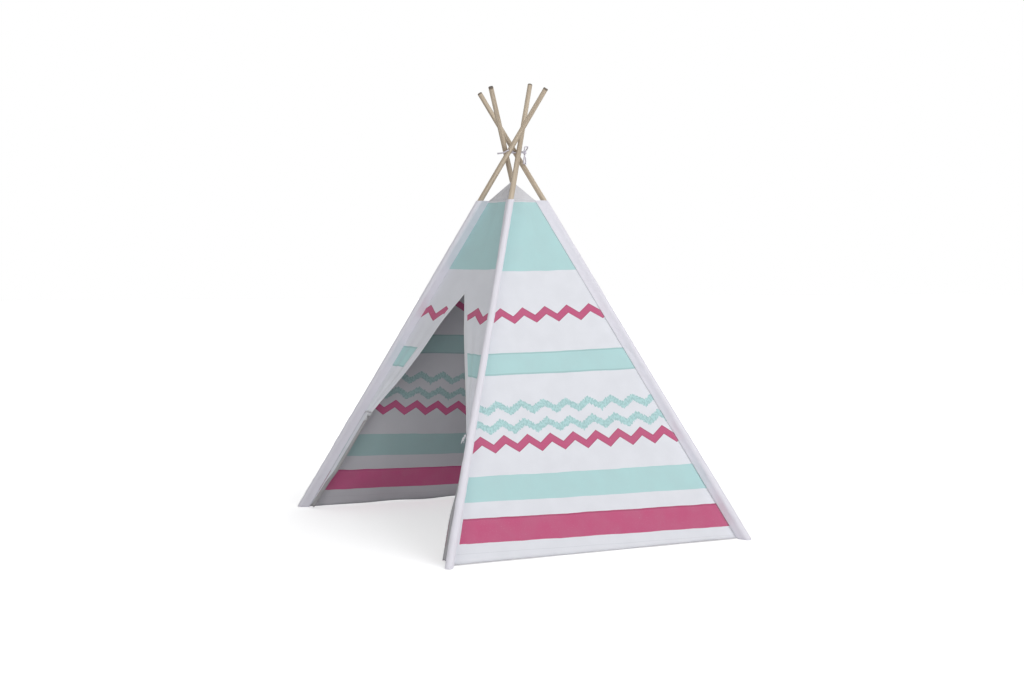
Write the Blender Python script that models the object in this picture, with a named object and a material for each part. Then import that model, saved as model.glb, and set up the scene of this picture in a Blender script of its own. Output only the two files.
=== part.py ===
"""Kids teepee: four sectional wooden poles, a cord lashing and a printed cotton cover.

Metres, +Z up, origin on the floor under the crossing of the poles.
The door faces -Y. Corners are named as someone who faces the door sees them:
door_left, door_right, rear_right, rear_left.
"""

import math

import bmesh
import bpy
from mathutils import Matrix, Vector

# Overall stance
BASE_WIDTH = 1.200
FRONT_FOOT_BACK = 0.120
SLEEVE_TOP_HEIGHT = 1.145
PEAK_ABOVE_SLEEVES = 0.065
CROSSING_ABOVE_PEAK = 0.106

# Poles
POLE_DIAMETER = 0.019
POLE_PAST_CROSSING = 0.2440
POLE_SECTIONS = 3
POLE_CHAMFER = 0.0012
POLE_OFFSET = 0.024
SECTION_GAP = 0.0006
POLE_SEGMENTS = 24
DRILL_SEGMENTS = 12

# Ferrules that join the sections
FERRULE_LENGTH = 0.080
FERRULE_WALL = 0.0010
FERRULE_CLEARANCE = 0.0003
FERRULE_LIP = 0.0004

# Lashing cord
CORD_DIAMETER = 0.005
CORD_HOLE_CLEARANCE = 0.0006
CORD_LAYER_GAP = 0.0006
CORD_STRAIGHT = 0.006
CORD_SWING_OUT = 0.020
CORD_SAG = 0.006
KNOT_STANDOFF = 0.0125
KNOT_STRAND_GAP = 0.0006
KNOT_TAIL_DROP = 0.034
KNOT_TAIL_SPREAD = 0.010
KNOT_STEPS = 42
KNOT_OPENING = 0.16
CORD_SIDES = 8
ROUTE_STEPS = 4

# Cover
CLOTH_THICKNESS = 0.0020
SEAM_SETBACK_FOOT = 0.028
SEAM_SETBACK_TOP = 0.020
SLEEVE_CLEARANCE = 0.0005
SLEEVE_WALL = 0.0015
SLEEVE_FLOOR = 0.0020
SLEEVE_BORE_OPENING = math.radians(30)
SEAM_HALF_WIDTH = 0.0020
SEAM_TIP_GAP = 0.00015
SEAM_TWIST_SHARE = 1.25
PANEL_EDGE_GAP = 0.0015
HEM_LIFT = 0.0030
PIECE_GAP = 0.0004
GORE_LIFT = 0.0008
SLEEVE_STATIONS = 9
SLEEVE_ARC_POINTS = 13

# Door
SLIT_BELOW_SLEEVE_TOP = 0.340
TIE_HEIGHT_LEFT = 0.360
TIE_HEIGHT_RIGHT = 0.365
FLAP_CLEARANCE = 0.0033
FLAP_NECK_WIDTH = 0.024
FLAP_HEM_WIDTH = 0.034
FLAP_NECK_DEPTH = 0.012
FLAP_HEM_DEPTH = 0.016
FLAP_HEM_LIFT = 0.006
FLAP_FOLDS = 4
FLAP_FOLD_SHARE = 0.30
FLAP_STATIONS = 12
FLAP_POINTS = 40

# Ribbon ties
RIBBON_WIDTH = 0.010
RIBBON_THICKNESS = 0.0016
RIBBON_TAIL_LENGTH = 0.045
RIBBON_TAIL_SPREAD = 0.010
RIBBON_KNOT_RADIUS = 0.0085
RIBBON_KNOT_DEPTH = 0.0055
RIBBON_BEND_SHARE = 0.25
RIBBON_KNOT_STEPS = 2
MERGE_DISTANCE = 0.000016

OVERRUN = 0.004
EDGE_ANGLE = math.radians(40)
SOFT_ANGLE = math.radians(60)

PEAK_HEIGHT = SLEEVE_TOP_HEIGHT + PEAK_ABOVE_SLEEVES
CROSSING_HEIGHT = PEAK_HEIGHT + CROSSING_ABOVE_PEAK
SLIT_APEX_HEIGHT = SLEEVE_TOP_HEIGHT - SLIT_BELOW_SLEEVE_TOP
POLE_LENGTH = math.hypot(BASE_WIDTH / 2, BASE_WIDTH / 2, CROSSING_HEIGHT) + POLE_PAST_CROSSING
POLE_RADIUS = POLE_DIAMETER / 2
CORD_RADIUS = CORD_DIAMETER / 2
FERRULE_RADIUS = POLE_RADIUS + FERRULE_CLEARANCE + FERRULE_WALL
SLEEVE_BORE = FERRULE_RADIUS + SLEEVE_CLEARANCE
SLEEVE_RADIUS = SLEEVE_BORE + SLEEVE_WALL
CORD_LAYER = CORD_RADIUS + CORD_LAYER_GAP / 2

# Name, side along X, side along Y, which cord layer runs through the pole
CORNERS = (
    ("door_left", -1, -1, 1),
    ("door_right", 1, -1, -1),
    ("rear_right", 1, 1, 1),
    ("rear_left", -1, 1, -1),
)
# Name, its two corners in counter-clockwise order seen from above
PANELS = (
    ("door_panel", 0, 1),
    ("right_panel", 1, 2),
    ("back_panel", 2, 3),
    ("left_panel", 3, 0),
)

COLOURS = {
    "pole_wood": ((0.50, 0.38, 0.26), 0.55, 0.0),
    "ferrule_steel": ((0.62, 0.63, 0.65), 0.32, 1.0),
    "cotton_cord": ((0.78, 0.76, 0.78), 0.85, 0.0),
    "sleeve_cotton": ((0.80, 0.79, 0.88), 0.88, 0.0),
    "printed_canvas": ((0.62, 0.74, 0.74), 0.90, 0.0),
    "plain_canvas": ((0.78, 0.78, 0.82), 0.90, 0.0),
    "ribbon": ((0.85, 0.85, 0.88), 0.75, 0.0),
}


def clear_scene():
    """Remove whatever the file holds."""
    for item in list(bpy.data.objects):
        bpy.data.objects.remove(item, do_unlink=True)


def material(name):
    """Return the named Principled material, made once."""
    found = bpy.data.materials.get(name)
    if found:
        return found
    colour, roughness, metallic = COLOURS[name]
    made = bpy.data.materials.new(name)
    made.use_nodes = True
    shader = made.node_tree.nodes["Principled BSDF"]
    shader.inputs["Base Color"].default_value = (*colour, 1.0)
    shader.inputs["Roughness"].default_value = roughness
    shader.inputs["Metallic"].default_value = metallic
    return made


def add_object(name, mesh_data, material_name, smooth_angle=None):
    """Put a finished bmesh into the scene as one named object."""
    bmesh.ops.recalc_face_normals(mesh_data, faces=mesh_data.faces)
    mesh = bpy.data.meshes.new(name)
    mesh_data.to_mesh(mesh)
    mesh_data.free()
    if smooth_angle is not None:
        mesh.shade_smooth()
        mesh.set_sharp_from_angle(angle=smooth_angle)
    item = bpy.data.objects.new(name, mesh)
    bpy.context.collection.objects.link(item)
    item.data.materials.append(material(material_name))
    return item


def as_helper(item):
    """Hide a cutter or a union guide from the build."""
    item.hide_render = True
    item.display_type = "WIRE"
    return item


def boolean(item, tool, operation):
    """Add one exact Boolean to an object."""
    modifier = item.modifiers.new(tool.name, "BOOLEAN")
    modifier.solver = "EXACT"
    modifier.operation = operation
    modifier.object = tool


def loft(rings, close_start=True, close_end=True):
    """Skin closed rings of equal count, and cap the ends."""
    skin = bmesh.new()
    rows = [[skin.verts.new(point) for point in ring] for ring in rings]
    count = len(rows[0])
    for row, following in zip(rows, rows[1:]):
        for k in range(count):
            n = (k + 1) % count
            skin.faces.new((row[k], row[n], following[n], following[k]))
    if close_start:
        skin.faces.new(list(reversed(rows[0])))
    if close_end:
        skin.faces.new(rows[-1])
    return skin


def foot_point(index):
    """Return where a pole's axis meets the floor."""
    name, side_x, side_y, _ = CORNERS[index]
    x = side_x * BASE_WIDTH / 2
    y = side_y * BASE_WIDTH / 2
    if name == "door_right":
        y += FRONT_FOOT_BACK
    return Vector((x, y, 0))


class PoleLine:
    """The axis of one pole: it leans in a vertical plane that passes beside the centre."""

    def __init__(self, index):
        self.name = CORNERS[index][0]
        self.foot = foot_point(index)
        reach = self.foot.length
        turn = -math.asin(POLE_OFFSET / reach)
        self.radial = Matrix.Rotation(turn, 3, "Z") @ self.foot.normalized()
        self.tangent = Vector((-self.radial.y, self.radial.x, 0))
        height = CROSSING_HEIGHT + CORNERS[index][3] * CORD_LAYER
        self.crossing = POLE_OFFSET * self.tangent + Vector((0, 0, height))
        self.direction = (self.crossing - self.foot).normalized()
        self.lean = math.acos(self.direction.z)
        self.outward = self.tangent.cross(self.direction) * -1
        start_height = SLEEVE_FLOOR + PIECE_GAP + POLE_RADIUS * math.sin(self.lean)
        self.start = start_height / self.direction.z

    def at(self, distance):
        """Return the axis point at a distance from the floor, measured along the pole."""
        return self.foot + distance * self.direction

    def at_height(self, height):
        """Return the axis point at a height."""
        return self.at(height / self.direction.z)

    def frame(self):
        """Return the two unit vectors across the pole."""
        return self.outward, self.tangent


POLES = [PoleLine(index) for index in range(len(CORNERS))]
FOOT_REACH = POLES[0].foot.length
SEAM_FOOT_REACH = FOOT_REACH - SEAM_SETBACK_FOOT / math.cos(POLES[0].lean)
POLE_TOP_REACH = FOOT_REACH * (1 - SLEEVE_TOP_HEIGHT / CROSSING_HEIGHT)
SEAM_TOP_REACH = POLE_TOP_REACH - SEAM_SETBACK_TOP / math.cos(POLES[0].lean)
# The seams of the cover draw nearer to the poles towards the top, and would meet here
VIRTUAL_APEX = SLEEVE_TOP_HEIGHT * SEAM_FOOT_REACH / (SEAM_FOOT_REACH - SEAM_TOP_REACH)


def corner(index, height):
    """Return the point of the cover's corner seam at a height."""
    pole = POLES[index]
    reach = pole.foot.length * SEAM_FOOT_REACH / FOOT_REACH
    return pole.foot.normalized() * reach * (1 - height / VIRTUAL_APEX) + Vector((0, 0, height))


def turned(name, pole, profile, material_name, closed_ring=False):
    """Revolve a profile of (radius, distance along the pole) about a pole's axis."""
    across, beside = pole.frame()
    skin = bmesh.new()
    rings = []
    for radius, distance in profile:
        centre = pole.at(distance)
        ring = []
        for k in range(POLE_SEGMENTS):
            angle = 2 * math.pi * k / POLE_SEGMENTS
            offset = across * math.cos(angle) + beside * math.sin(angle)
            ring.append(skin.verts.new(centre + radius * offset))
        rings.append(ring)
    pairs = list(zip(rings, rings[1:]))
    if closed_ring:
        pairs.append((rings[-1], rings[0]))
    for row, following in pairs:
        for k in range(POLE_SEGMENTS):
            n = (k + 1) % POLE_SEGMENTS
            skin.faces.new((row[k], row[n], following[n], following[k]))
    if not closed_ring:
        skin.faces.new(list(reversed(rings[0])))
        skin.faces.new(rings[-1])
    return add_object(name, skin, material_name, smooth_angle=EDGE_ANGLE)


def section_span(pole, number):
    """Return where a pole section starts and ends along the axis."""
    piece = (POLE_LENGTH - (POLE_SECTIONS - 1) * SECTION_GAP) / POLE_SECTIONS
    start = pole.start + number * (piece + SECTION_GAP)
    return start, start + piece


def build_pole(pole):
    """Make one pole: turned sections, ferrules over the joints and the drilled cord hole."""
    names = ("lower", "middle", "upper")
    for number in range(POLE_SECTIONS):
        start, end = section_span(pole, number)
        inner = POLE_RADIUS - POLE_CHAMFER
        profile = (
            (inner, start),
            (POLE_RADIUS, start + POLE_CHAMFER),
            (POLE_RADIUS, end - POLE_CHAMFER),
            (inner, end),
        )
        section = turned(f"pole_{pole.name}_{names[number]}", pole, profile, "pole_wood")
        if number == POLE_SECTIONS - 1:
            boolean(section, cord_hole_cutter(pole), "DIFFERENCE")
    for number in range(POLE_SECTIONS - 1):
        joint = section_span(pole, number)[1] + SECTION_GAP / 2
        low = joint - FERRULE_LENGTH / 2
        high = joint + FERRULE_LENGTH / 2
        bore = POLE_RADIUS + FERRULE_CLEARANCE
        profile = (
            (bore, low),
            (FERRULE_RADIUS - FERRULE_LIP, low),
            (FERRULE_RADIUS, low + FERRULE_LIP),
            (FERRULE_RADIUS, high - FERRULE_LIP),
            (FERRULE_RADIUS - FERRULE_LIP, high),
            (bore, high),
        )
        place = ("lower", "upper")[number]
        turned(f"ferrule_{pole.name}_{place}", pole, profile, "ferrule_steel", closed_ring=True)


def cord_hole_cutter(pole):
    """Make the drill that crosses a pole along its pivot line."""
    radius = CORD_RADIUS + CORD_HOLE_CLEARANCE
    half = POLE_RADIUS + OVERRUN
    rings = []
    for side in (-half, half):
        centre = pole.crossing + side * pole.tangent
        ring = []
        for k in range(DRILL_SEGMENTS):
            angle = 2 * math.pi * k / DRILL_SEGMENTS
            ring.append(
                centre
                + radius * math.cos(angle) * pole.outward
                + radius * math.sin(angle) * pole.direction
            )
        rings.append(ring)
    return as_helper(add_object(f"drill_{pole.name}", loft(rings), "pole_wood"))


def smooth_route(points, steps):
    """Return points on a Catmull-Rom curve through the route's own points."""
    route = []
    padded = [2 * points[0] - points[1], *points, 2 * points[-1] - points[-2]]
    for k in range(len(points) - 1):
        before, start, end, after = padded[k : k + 4]
        for step in range(steps):
            t = step / steps
            route.append(
                0.5 * (2 * start + (end - before) * t
                       + (2 * before - 5 * start + 4 * end - after) * t * t
                       + (3 * start - before - 3 * end + after) * t * t * t)
            )
    route.append(points[-1])
    return route


def tube(name, route, radius, sides, material_name):
    """Make a closed round tube along a route, turned as little as possible from ring to ring."""
    rings = []
    ahead = (route[1] - route[0]).normalized()
    across = ahead.orthogonal().normalized()
    for k, point in enumerate(route):
        before = route[max(k - 1, 0)]
        after = route[min(k + 1, len(route) - 1)]
        ahead = (after - before).normalized()
        across = (across - across.dot(ahead) * ahead).normalized()
        beside = ahead.cross(across)
        ring = []
        for n in range(sides):
            angle = 2 * math.pi * n / sides
            ring.append(point + radius * (math.cos(angle) * across + math.sin(angle) * beside))
        rings.append(ring)
    return add_object(name, loft(rings), material_name, smooth_angle=SOFT_ANGLE)


def cord_point(direction, reach, height):
    """Return a point of the lashing at a reach from the centre line."""
    return direction * reach + Vector((0, 0, height))


def build_lashing():
    """Make the cord that threads the four pole holes, and its knot with two tails."""
    left, front, right, back = POLES
    low = CROSSING_HEIGHT - CORD_LAYER
    high = CROSSING_HEIGHT + CORD_LAYER
    face = POLE_OFFSET + POLE_RADIUS
    inside = POLE_OFFSET - POLE_RADIUS
    exit_reach = face + CORD_STRAIGHT
    swing = face + CORD_SWING_OUT
    sag = CROSSING_HEIGHT - CORD_SAG
    knot_reach = face + KNOT_STANDOFF
    back_to_left = (back.tangent + left.tangent).normalized()
    right_to_front = (right.tangent + front.tangent).normalized()
    by_back = (3 * back.tangent + left.tangent).normalized()
    by_left = (back.tangent + 3 * left.tangent).normalized()
    by_right = (3 * right.tangent + front.tangent).normalized()
    by_front = (right.tangent + 3 * front.tangent).normalized()
    strand_end = knot_reach - CORD_DIAMETER
    knot_top = low + CORD_DIAMETER + CORD_RADIUS + 2 * KNOT_STRAND_GAP
    route = [
        cord_point(front.tangent, strand_end, low),
        cord_point(front.tangent, face, low),
        cord_point(front.tangent, inside, low),
        cord_point(front.tangent, CORD_DIAMETER, low),
        cord_point(back.tangent, CORD_DIAMETER, low),
        cord_point(back.tangent, inside, low),
        cord_point(back.tangent, face, low),
        cord_point(back.tangent, exit_reach, low),
        cord_point(by_back, swing, sag),
        cord_point(back_to_left, swing + CORD_RADIUS, sag),
        cord_point(by_left, swing, sag),
        cord_point(left.tangent, exit_reach, high),
        cord_point(left.tangent, face, high),
        cord_point(left.tangent, inside, high),
        cord_point(left.tangent, CORD_DIAMETER, high),
        cord_point(right.tangent, CORD_DIAMETER, high),
        cord_point(right.tangent, inside, high),
        cord_point(right.tangent, face, high),
        cord_point(right.tangent, exit_reach, high),
        cord_point(by_right, swing, high),
        cord_point(right_to_front, swing + CORD_DIAMETER, high + CORD_DIAMETER),
        cord_point(by_front, swing + CORD_DIAMETER, high + 3 * CORD_DIAMETER),
        cord_point(front.tangent, knot_reach, knot_top + 2 * CORD_DIAMETER),
        cord_point(front.tangent, knot_reach, knot_top),
    ]
    tube("lashing_cord", smooth_route(route, ROUTE_STEPS), CORD_RADIUS, CORD_SIDES, "cotton_cord")
    tube("lashing_knot", knot_route(front, knot_reach, low), CORD_RADIUS, CORD_SIDES, "cotton_cord")


def knot_route(pole, reach, height):
    """Return the route of an overhand knot, whose two ends hang down as tails."""
    scale = (CORD_DIAMETER + KNOT_STRAND_GAP) / 2
    centre = cord_point(pole.tangent, reach, height)
    up = Vector((0, 0, 1))
    turn = 2 * math.pi - 2 * KNOT_OPENING
    route = []
    for k in range(KNOT_STEPS + 1):
        u = KNOT_OPENING + turn * k / KNOT_STEPS
        ring = (2 + math.cos(3 * u)) * scale
        along = ring * math.cos(2 * u)
        across = ring * math.sin(2 * u)
        depth = math.sin(3 * u) * scale
        route.append(
            centre
            - along * up
            + across * pole.radial
            + depth * pole.tangent
        )
    first = route[0] - route[1]
    last = route[-1] - route[-2]
    for start, push, side in ((route[0], first, 1), (route[-1], last, -1)):
        push = push.normalized()
        spread = KNOT_TAIL_SPREAD * (pole.radial if push.dot(pole.radial) > 0 else -pole.radial)
        tail = [
            start + CORD_DIAMETER * push,
            start + spread - KNOT_TAIL_DROP / 2 * up,
            start + spread - KNOT_TAIL_DROP * up,
        ]
        if side > 0:
            route = list(reversed(tail)) + route
        else:
            route = route + tail
    return route


def sleeve_ring(index, height, radius, tail):
    """Return a horizontal slice of a sleeve: round about its pole, drawn out to the seam."""
    pole = POLES[index]
    centre = pole.at_height(height)
    to_seam = corner(index, height) - centre
    to_seam = to_seam - to_seam.dot(pole.direction) * pole.direction
    ahead = to_seam.normalized()
    outward = pole.foot.normalized()
    outward = (outward - outward.dot(pole.direction) * pole.direction).normalized()
    twist = math.sqrt(max(0, 1 - ahead.dot(outward) ** 2))
    reach = to_seam.length - SEAM_TIP_GAP - SEAM_TWIST_SHARE * CLOTH_THICKNESS * twist
    beside = pole.direction.cross(ahead)
    start = math.acos((radius - SEAM_HALF_WIDTH) / reach) if tail else SLEEVE_BORE_OPENING
    points = []
    for k in range(SLEEVE_ARC_POINTS):
        angle = start + (2 * math.pi - 2 * start) * k / (SLEEVE_ARC_POINTS - 1)
        points.append(centre + radius * (math.cos(angle) * ahead + math.sin(angle) * beside))
    if tail:
        points.append(centre + reach * ahead - SEAM_HALF_WIDTH * beside)
        points.append(centre + reach * ahead + SEAM_HALF_WIDTH * beside)
    else:
        points.append(centre + radius * (math.cos(start / 3) * ahead - math.sin(start / 3) * beside))
        points.append(centre + radius * (math.cos(start / 3) * ahead + math.sin(start / 3) * beside))
    return [point + pole.direction * (height - point.z) / pole.direction.z for point in points]


def build_sleeve(index):
    """Make a sewn pole sleeve: a teardrop tube with a closed foot, open at its top hem."""
    heights = [SLEEVE_TOP_HEIGHT * k / (SLEEVE_STATIONS - 1) for k in range(SLEEVE_STATIONS)]
    outer = [sleeve_ring(index, height, SLEEVE_RADIUS, True) for height in heights]
    bore_heights = [SLEEVE_FLOOR] + heights[1:]
    bore = [sleeve_ring(index, height, SLEEVE_BORE, False) for height in bore_heights]
    skin = loft(outer + list(reversed(bore)))
    name = f"sleeve_{POLES[index].name}"
    return add_object(name, skin, "sleeve_cotton", smooth_angle=EDGE_ANGLE)


class PanelPlane:
    """The flat sheet between two corner seams."""

    def __init__(self, first, second):
        self.first = first
        self.second = second
        low_first = corner(first, 0)
        low_second = corner(second, 0)
        apex = Vector((0, 0, VIRTUAL_APEX))
        self.normal = (low_second - low_first).cross(apex - low_first).normalized()
        if self.normal.dot(low_first + low_second) < 0:
            self.normal = -self.normal
        self.along = (low_second - low_first).normalized()

    def edge(self, which, height, inset=PANEL_EDGE_GAP):
        """Return a point beside a corner seam, at a height and an inset across the sheet."""
        base = corner(which, 0)
        rise = (Vector((0, 0, VIRTUAL_APEX)) - base).normalized()
        inward = self.normal.cross(rise)
        toward = self.along if which == self.first else -self.along
        if inward.dot(toward) < 0:
            inward = -inward
        point = corner(which, height) + inset * inward
        return point + rise * (height - point.z) / rise.z

    def centre(self, height):
        """Return the middle of the sheet at a height."""
        return (corner(self.first, height) + corner(self.second, height)) / 2

    def sheet(self, name, outline, material_name, thickness=CLOTH_THICKNESS):
        """Make a closed slab from an outline that lies in the sheet."""
        offset = thickness / 2 * self.normal
        return add_object(
            name,
            loft([[point - offset for point in outline], [point + offset for point in outline]]),
            material_name,
        )


def build_panel(name, first, second):
    """Make one full printed panel and the plain gore that closes it to the peak."""
    plane = PanelPlane(first, second)
    if name == "door_panel":
        build_door(plane)
    else:
        outline = [
            plane.edge(first, HEM_LIFT),
            plane.edge(second, HEM_LIFT),
            plane.edge(second, SLEEVE_TOP_HEIGHT),
            plane.edge(first, SLEEVE_TOP_HEIGHT),
        ]
        plane.sheet(name, outline, "printed_canvas")
    build_gore(name, plane)


def build_gore(name, plane):
    """Make the plain triangle above a panel, which leans in more steeply to the peak."""
    height = SLEEVE_TOP_HEIGHT + GORE_LIFT
    left = plane.edge(plane.first, height)
    right = plane.edge(plane.second, height)
    middle = (left + right) / 2
    inward = Vector((-middle.x, -middle.y, 0)).normalized()
    peak = Vector((0, 0, PEAK_HEIGHT)) - (PANEL_EDGE_GAP + CLOTH_THICKNESS) * inward
    normal = (right - left).cross(peak - left).normalized()
    if normal.dot(inward) > 0:
        normal = -normal
    side = (right - left).normalized()
    tip = PANEL_EDGE_GAP / 2
    outline = [left, right, peak + tip * side, peak - tip * side]
    offset = CLOTH_THICKNESS / 2 * normal
    add_object(
        f"{name}_gore",
        loft([[point - offset for point in outline], [point + offset for point in outline]]),
        "plain_canvas",
    )


def build_door(plane):
    """Make the slit door: the panel above the slit, and the two leaves drawn back to the ties."""
    top = [
        plane.edge(plane.first, SLIT_APEX_HEIGHT + PIECE_GAP),
        plane.edge(plane.second, SLIT_APEX_HEIGHT + PIECE_GAP),
        plane.edge(plane.second, SLEEVE_TOP_HEIGHT),
        plane.edge(plane.first, SLEEVE_TOP_HEIGHT),
    ]
    plane.sheet("door_panel", top, "printed_canvas")
    apex = plane.centre(SLIT_APEX_HEIGHT)
    sides = (
        ("left", plane.first, TIE_HEIGHT_LEFT, plane.along),
        ("right", plane.second, TIE_HEIGHT_RIGHT, -plane.along),
    )
    for side, which, tie_height, inward in sides:
        leaf = [
            plane.edge(which, SLIT_APEX_HEIGHT),
            apex - PANEL_EDGE_GAP * inward,
            plane.edge(which, tie_height + RIBBON_WIDTH, FLAP_NECK_WIDTH / 2),
            plane.edge(which, tie_height + RIBBON_WIDTH),
        ]
        plane.sheet(f"door_leaf_{side}", leaf, "printed_canvas")
        build_flap(f"door_flap_{side}", plane, which, tie_height)
        build_tie(f"ribbon_{side}", plane, which, tie_height)


def flap_ring(plane, which, height, share, grow=0.0):
    """Return a slice of a gathered flap: rounded, with folds that deepen towards the hem."""
    width = FLAP_NECK_WIDTH + (FLAP_HEM_WIDTH - FLAP_NECK_WIDTH) * share
    depth = FLAP_NECK_DEPTH + (FLAP_HEM_DEPTH - FLAP_NECK_DEPTH) * share
    start = plane.edge(which, height, FLAP_CLEARANCE)
    end = plane.edge(which, height, FLAP_CLEARANCE + width)
    centre = (start + end) / 2
    ahead = (end - start).normalized()
    beside = Vector((0, 0, 1)).cross(ahead)
    ring = []
    for k in range(FLAP_POINTS):
        angle = 2 * math.pi * k / FLAP_POINTS
        wave = 1 - FLAP_FOLD_SHARE * share * (1 - math.cos(2 * FLAP_FOLDS * angle)) / 2
        across = (end - start).length / 2 * math.cos(angle) * (1 if math.cos(angle) < 0 else wave)
        ring.append(
            centre
            + (across + grow * math.cos(angle)) * ahead
            + (depth / 2 * math.sin(angle) * wave + grow * math.sin(angle)) * beside
        )
    return ring


def build_flap(name, plane, which, tie_height):
    """Make a gathered door flap, which hangs below its tie beside the sleeve."""
    rings = []
    for k in range(FLAP_STATIONS):
        share = k / (FLAP_STATIONS - 1)
        height = tie_height + (FLAP_HEM_LIFT - tie_height) * share
        rings.append(flap_ring(plane, which, height, share))
    add_object(name, loft(rings), "printed_canvas", smooth_angle=SOFT_ANGLE)


def build_tie(name, plane, which, tie_height):
    """Make a ribbon tie: the band round the flap's neck, its knot and two tails."""
    length = tie_height - FLAP_HEM_LIFT
    low = tie_height - RIBBON_WIDTH
    rings = []
    band = (
        (tie_height, PIECE_GAP),
        (tie_height, PIECE_GAP + RIBBON_THICKNESS),
        (low, PIECE_GAP + RIBBON_THICKNESS),
        (low, PIECE_GAP),
    )
    for height, grow in band:
        share = (tie_height - low) / length
        rings.append(flap_ring(plane, which, height, share, grow))
    ring_mesh = loft(rings + [rings[0]], close_start=False, close_end=False)
    bmesh.ops.remove_doubles(ring_mesh, verts=ring_mesh.verts, dist=MERGE_DISTANCE)
    tie = add_object(name, ring_mesh, "ribbon", smooth_angle=EDGE_ANGLE)
    slope = (plane.centre(low) - plane.centre(tie_height)).normalized()
    outside = max(rings[1], key=lambda point: point.dot(plane.normal))
    stand = RIBBON_KNOT_DEPTH - RIBBON_THICKNESS / 2
    centre = outside + RIBBON_WIDTH / 2 * slope + stand * plane.normal
    knot_mesh = bmesh.new()
    bmesh.ops.create_icosphere(knot_mesh, subdivisions=RIBBON_KNOT_STEPS, radius=1)
    axes = (
        RIBBON_KNOT_RADIUS * plane.along,
        RIBBON_KNOT_DEPTH * plane.normal,
        RIBBON_WIDTH / 2 * slope,
    )
    for vertex in knot_mesh.verts:
        across, out, down = vertex.co
        vertex.co = centre + across * axes[0] + out * axes[1] + down * axes[2]
    knot = as_helper(add_object(f"{name}_knot_guide", knot_mesh, "ribbon"))
    boolean(tie, knot, "UNION")
    for side in (-1, 1):
        guide_name = f"{name}_tail_guide_{side + 1}"
        boolean(tie, ribbon_tail(guide_name, plane, centre, slope, side), "UNION")


def ribbon_tail(name, plane, centre, slope, side):
    """Make one ribbon tail that leaves the knot and lies down the slope of the flap."""
    spread = side * RIBBON_TAIL_SPREAD * plane.along
    down = RIBBON_TAIL_LENGTH * slope
    lift = RIBBON_KNOT_DEPTH / 2 * plane.normal
    points = [centre, centre + spread / 2 + RIBBON_BEND_SHARE * down + lift, centre + spread + down]
    half = RIBBON_WIDTH / 2 * plane.along
    thick = RIBBON_THICKNESS / 2 * plane.normal
    rings = []
    for point in smooth_route(points, ROUTE_STEPS):
        rings.append([
            point - half - thick,
            point + half - thick,
            point + half + thick,
            point - half + thick,
        ])
    return as_helper(add_object(name, loft(rings), "ribbon"))


def main():
    """Build every piece of the teepee."""
    clear_scene()
    for pole in POLES:
        build_pole(pole)
    build_lashing()
    for index in range(len(CORNERS)):
        build_sleeve(index)
    for name, first, second in PANELS:
        build_panel(name, first, second)


main()
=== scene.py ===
"""Looks of the kids teepee: printed cotton cover, pole sleeves, turned poles, lashing cord and door ties.

Metres and +Z up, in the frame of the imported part. The door faces -Y.
"""

import logging
import math
from collections.abc import Callable, Sequence
from dataclasses import dataclass
from enum import Enum

import bmesh
import bpy
from mathutils import Matrix, Vector, noise


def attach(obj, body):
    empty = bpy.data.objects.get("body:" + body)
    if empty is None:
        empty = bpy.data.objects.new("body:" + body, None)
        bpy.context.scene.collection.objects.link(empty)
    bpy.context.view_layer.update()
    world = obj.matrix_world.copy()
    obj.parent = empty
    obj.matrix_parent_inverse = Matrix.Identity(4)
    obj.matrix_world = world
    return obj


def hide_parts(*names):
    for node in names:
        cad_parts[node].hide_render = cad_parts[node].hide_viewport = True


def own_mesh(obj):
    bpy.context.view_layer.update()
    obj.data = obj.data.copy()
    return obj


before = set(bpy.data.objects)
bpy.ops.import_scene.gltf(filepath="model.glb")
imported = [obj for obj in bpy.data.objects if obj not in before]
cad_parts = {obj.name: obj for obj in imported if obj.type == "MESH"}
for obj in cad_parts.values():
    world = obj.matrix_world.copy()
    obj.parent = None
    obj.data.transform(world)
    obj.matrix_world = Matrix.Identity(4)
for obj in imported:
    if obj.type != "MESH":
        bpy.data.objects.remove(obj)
LOG = logging.getLogger("teepee")
UP = Vector((0, 0, 1))
Colour = tuple[float, float, float]
Place = tuple[float, float, float]
Ring = list[Vector]
Rows = tuple[tuple[float, float], ...]
Slice = tuple[Vector, Vector, Vector, float, float]
Socket = bpy.types.NodeSocket
Material = bpy.types.Material
Piece = bpy.types.Object


class Body(Enum):
    """The CAD bodies that the pieces ride on."""

    LASHING = "lashing"
    DOOR_PANEL = "door_panel"
    RIGHT_PANEL = "right_panel"
    BACK_PANEL = "back_panel"
    LEFT_PANEL = "left_panel"


class Slot(Enum):
    """The record's material slots."""

    POLE_WOOD = "pole_wood"
    FERRULE_STEEL = "ferrule_steel"
    COTTON_CORD = "cotton_cord"
    SLEEVE_COTTON = "sleeve_cotton"
    PRINTED_CANVAS = "printed_canvas"
    PLAIN_CANVAS = "plain_canvas"
    RIBBON = "ribbon"


# Each corner's name, its side across and along, and the layer in which its pole passes the crossing.
CORNERS = (
    ("door_left", -1, -1, 1),
    ("door_right", 1, -1, -1),
    ("rear_right", 1, 1, 1),
    ("rear_left", -1, 1, -1),
)
# Each panel's body, and the two corners between which it is stretched.
PANELS = (
    (Body.DOOR_PANEL, 0, 1),
    (Body.RIGHT_PANEL, 1, 2),
    (Body.BACK_PANEL, 2, 3),
    (Body.LEFT_PANEL, 3, 0),
)
# The height over which a turned hem thins out.
HEM_STEP = 0.002


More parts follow.
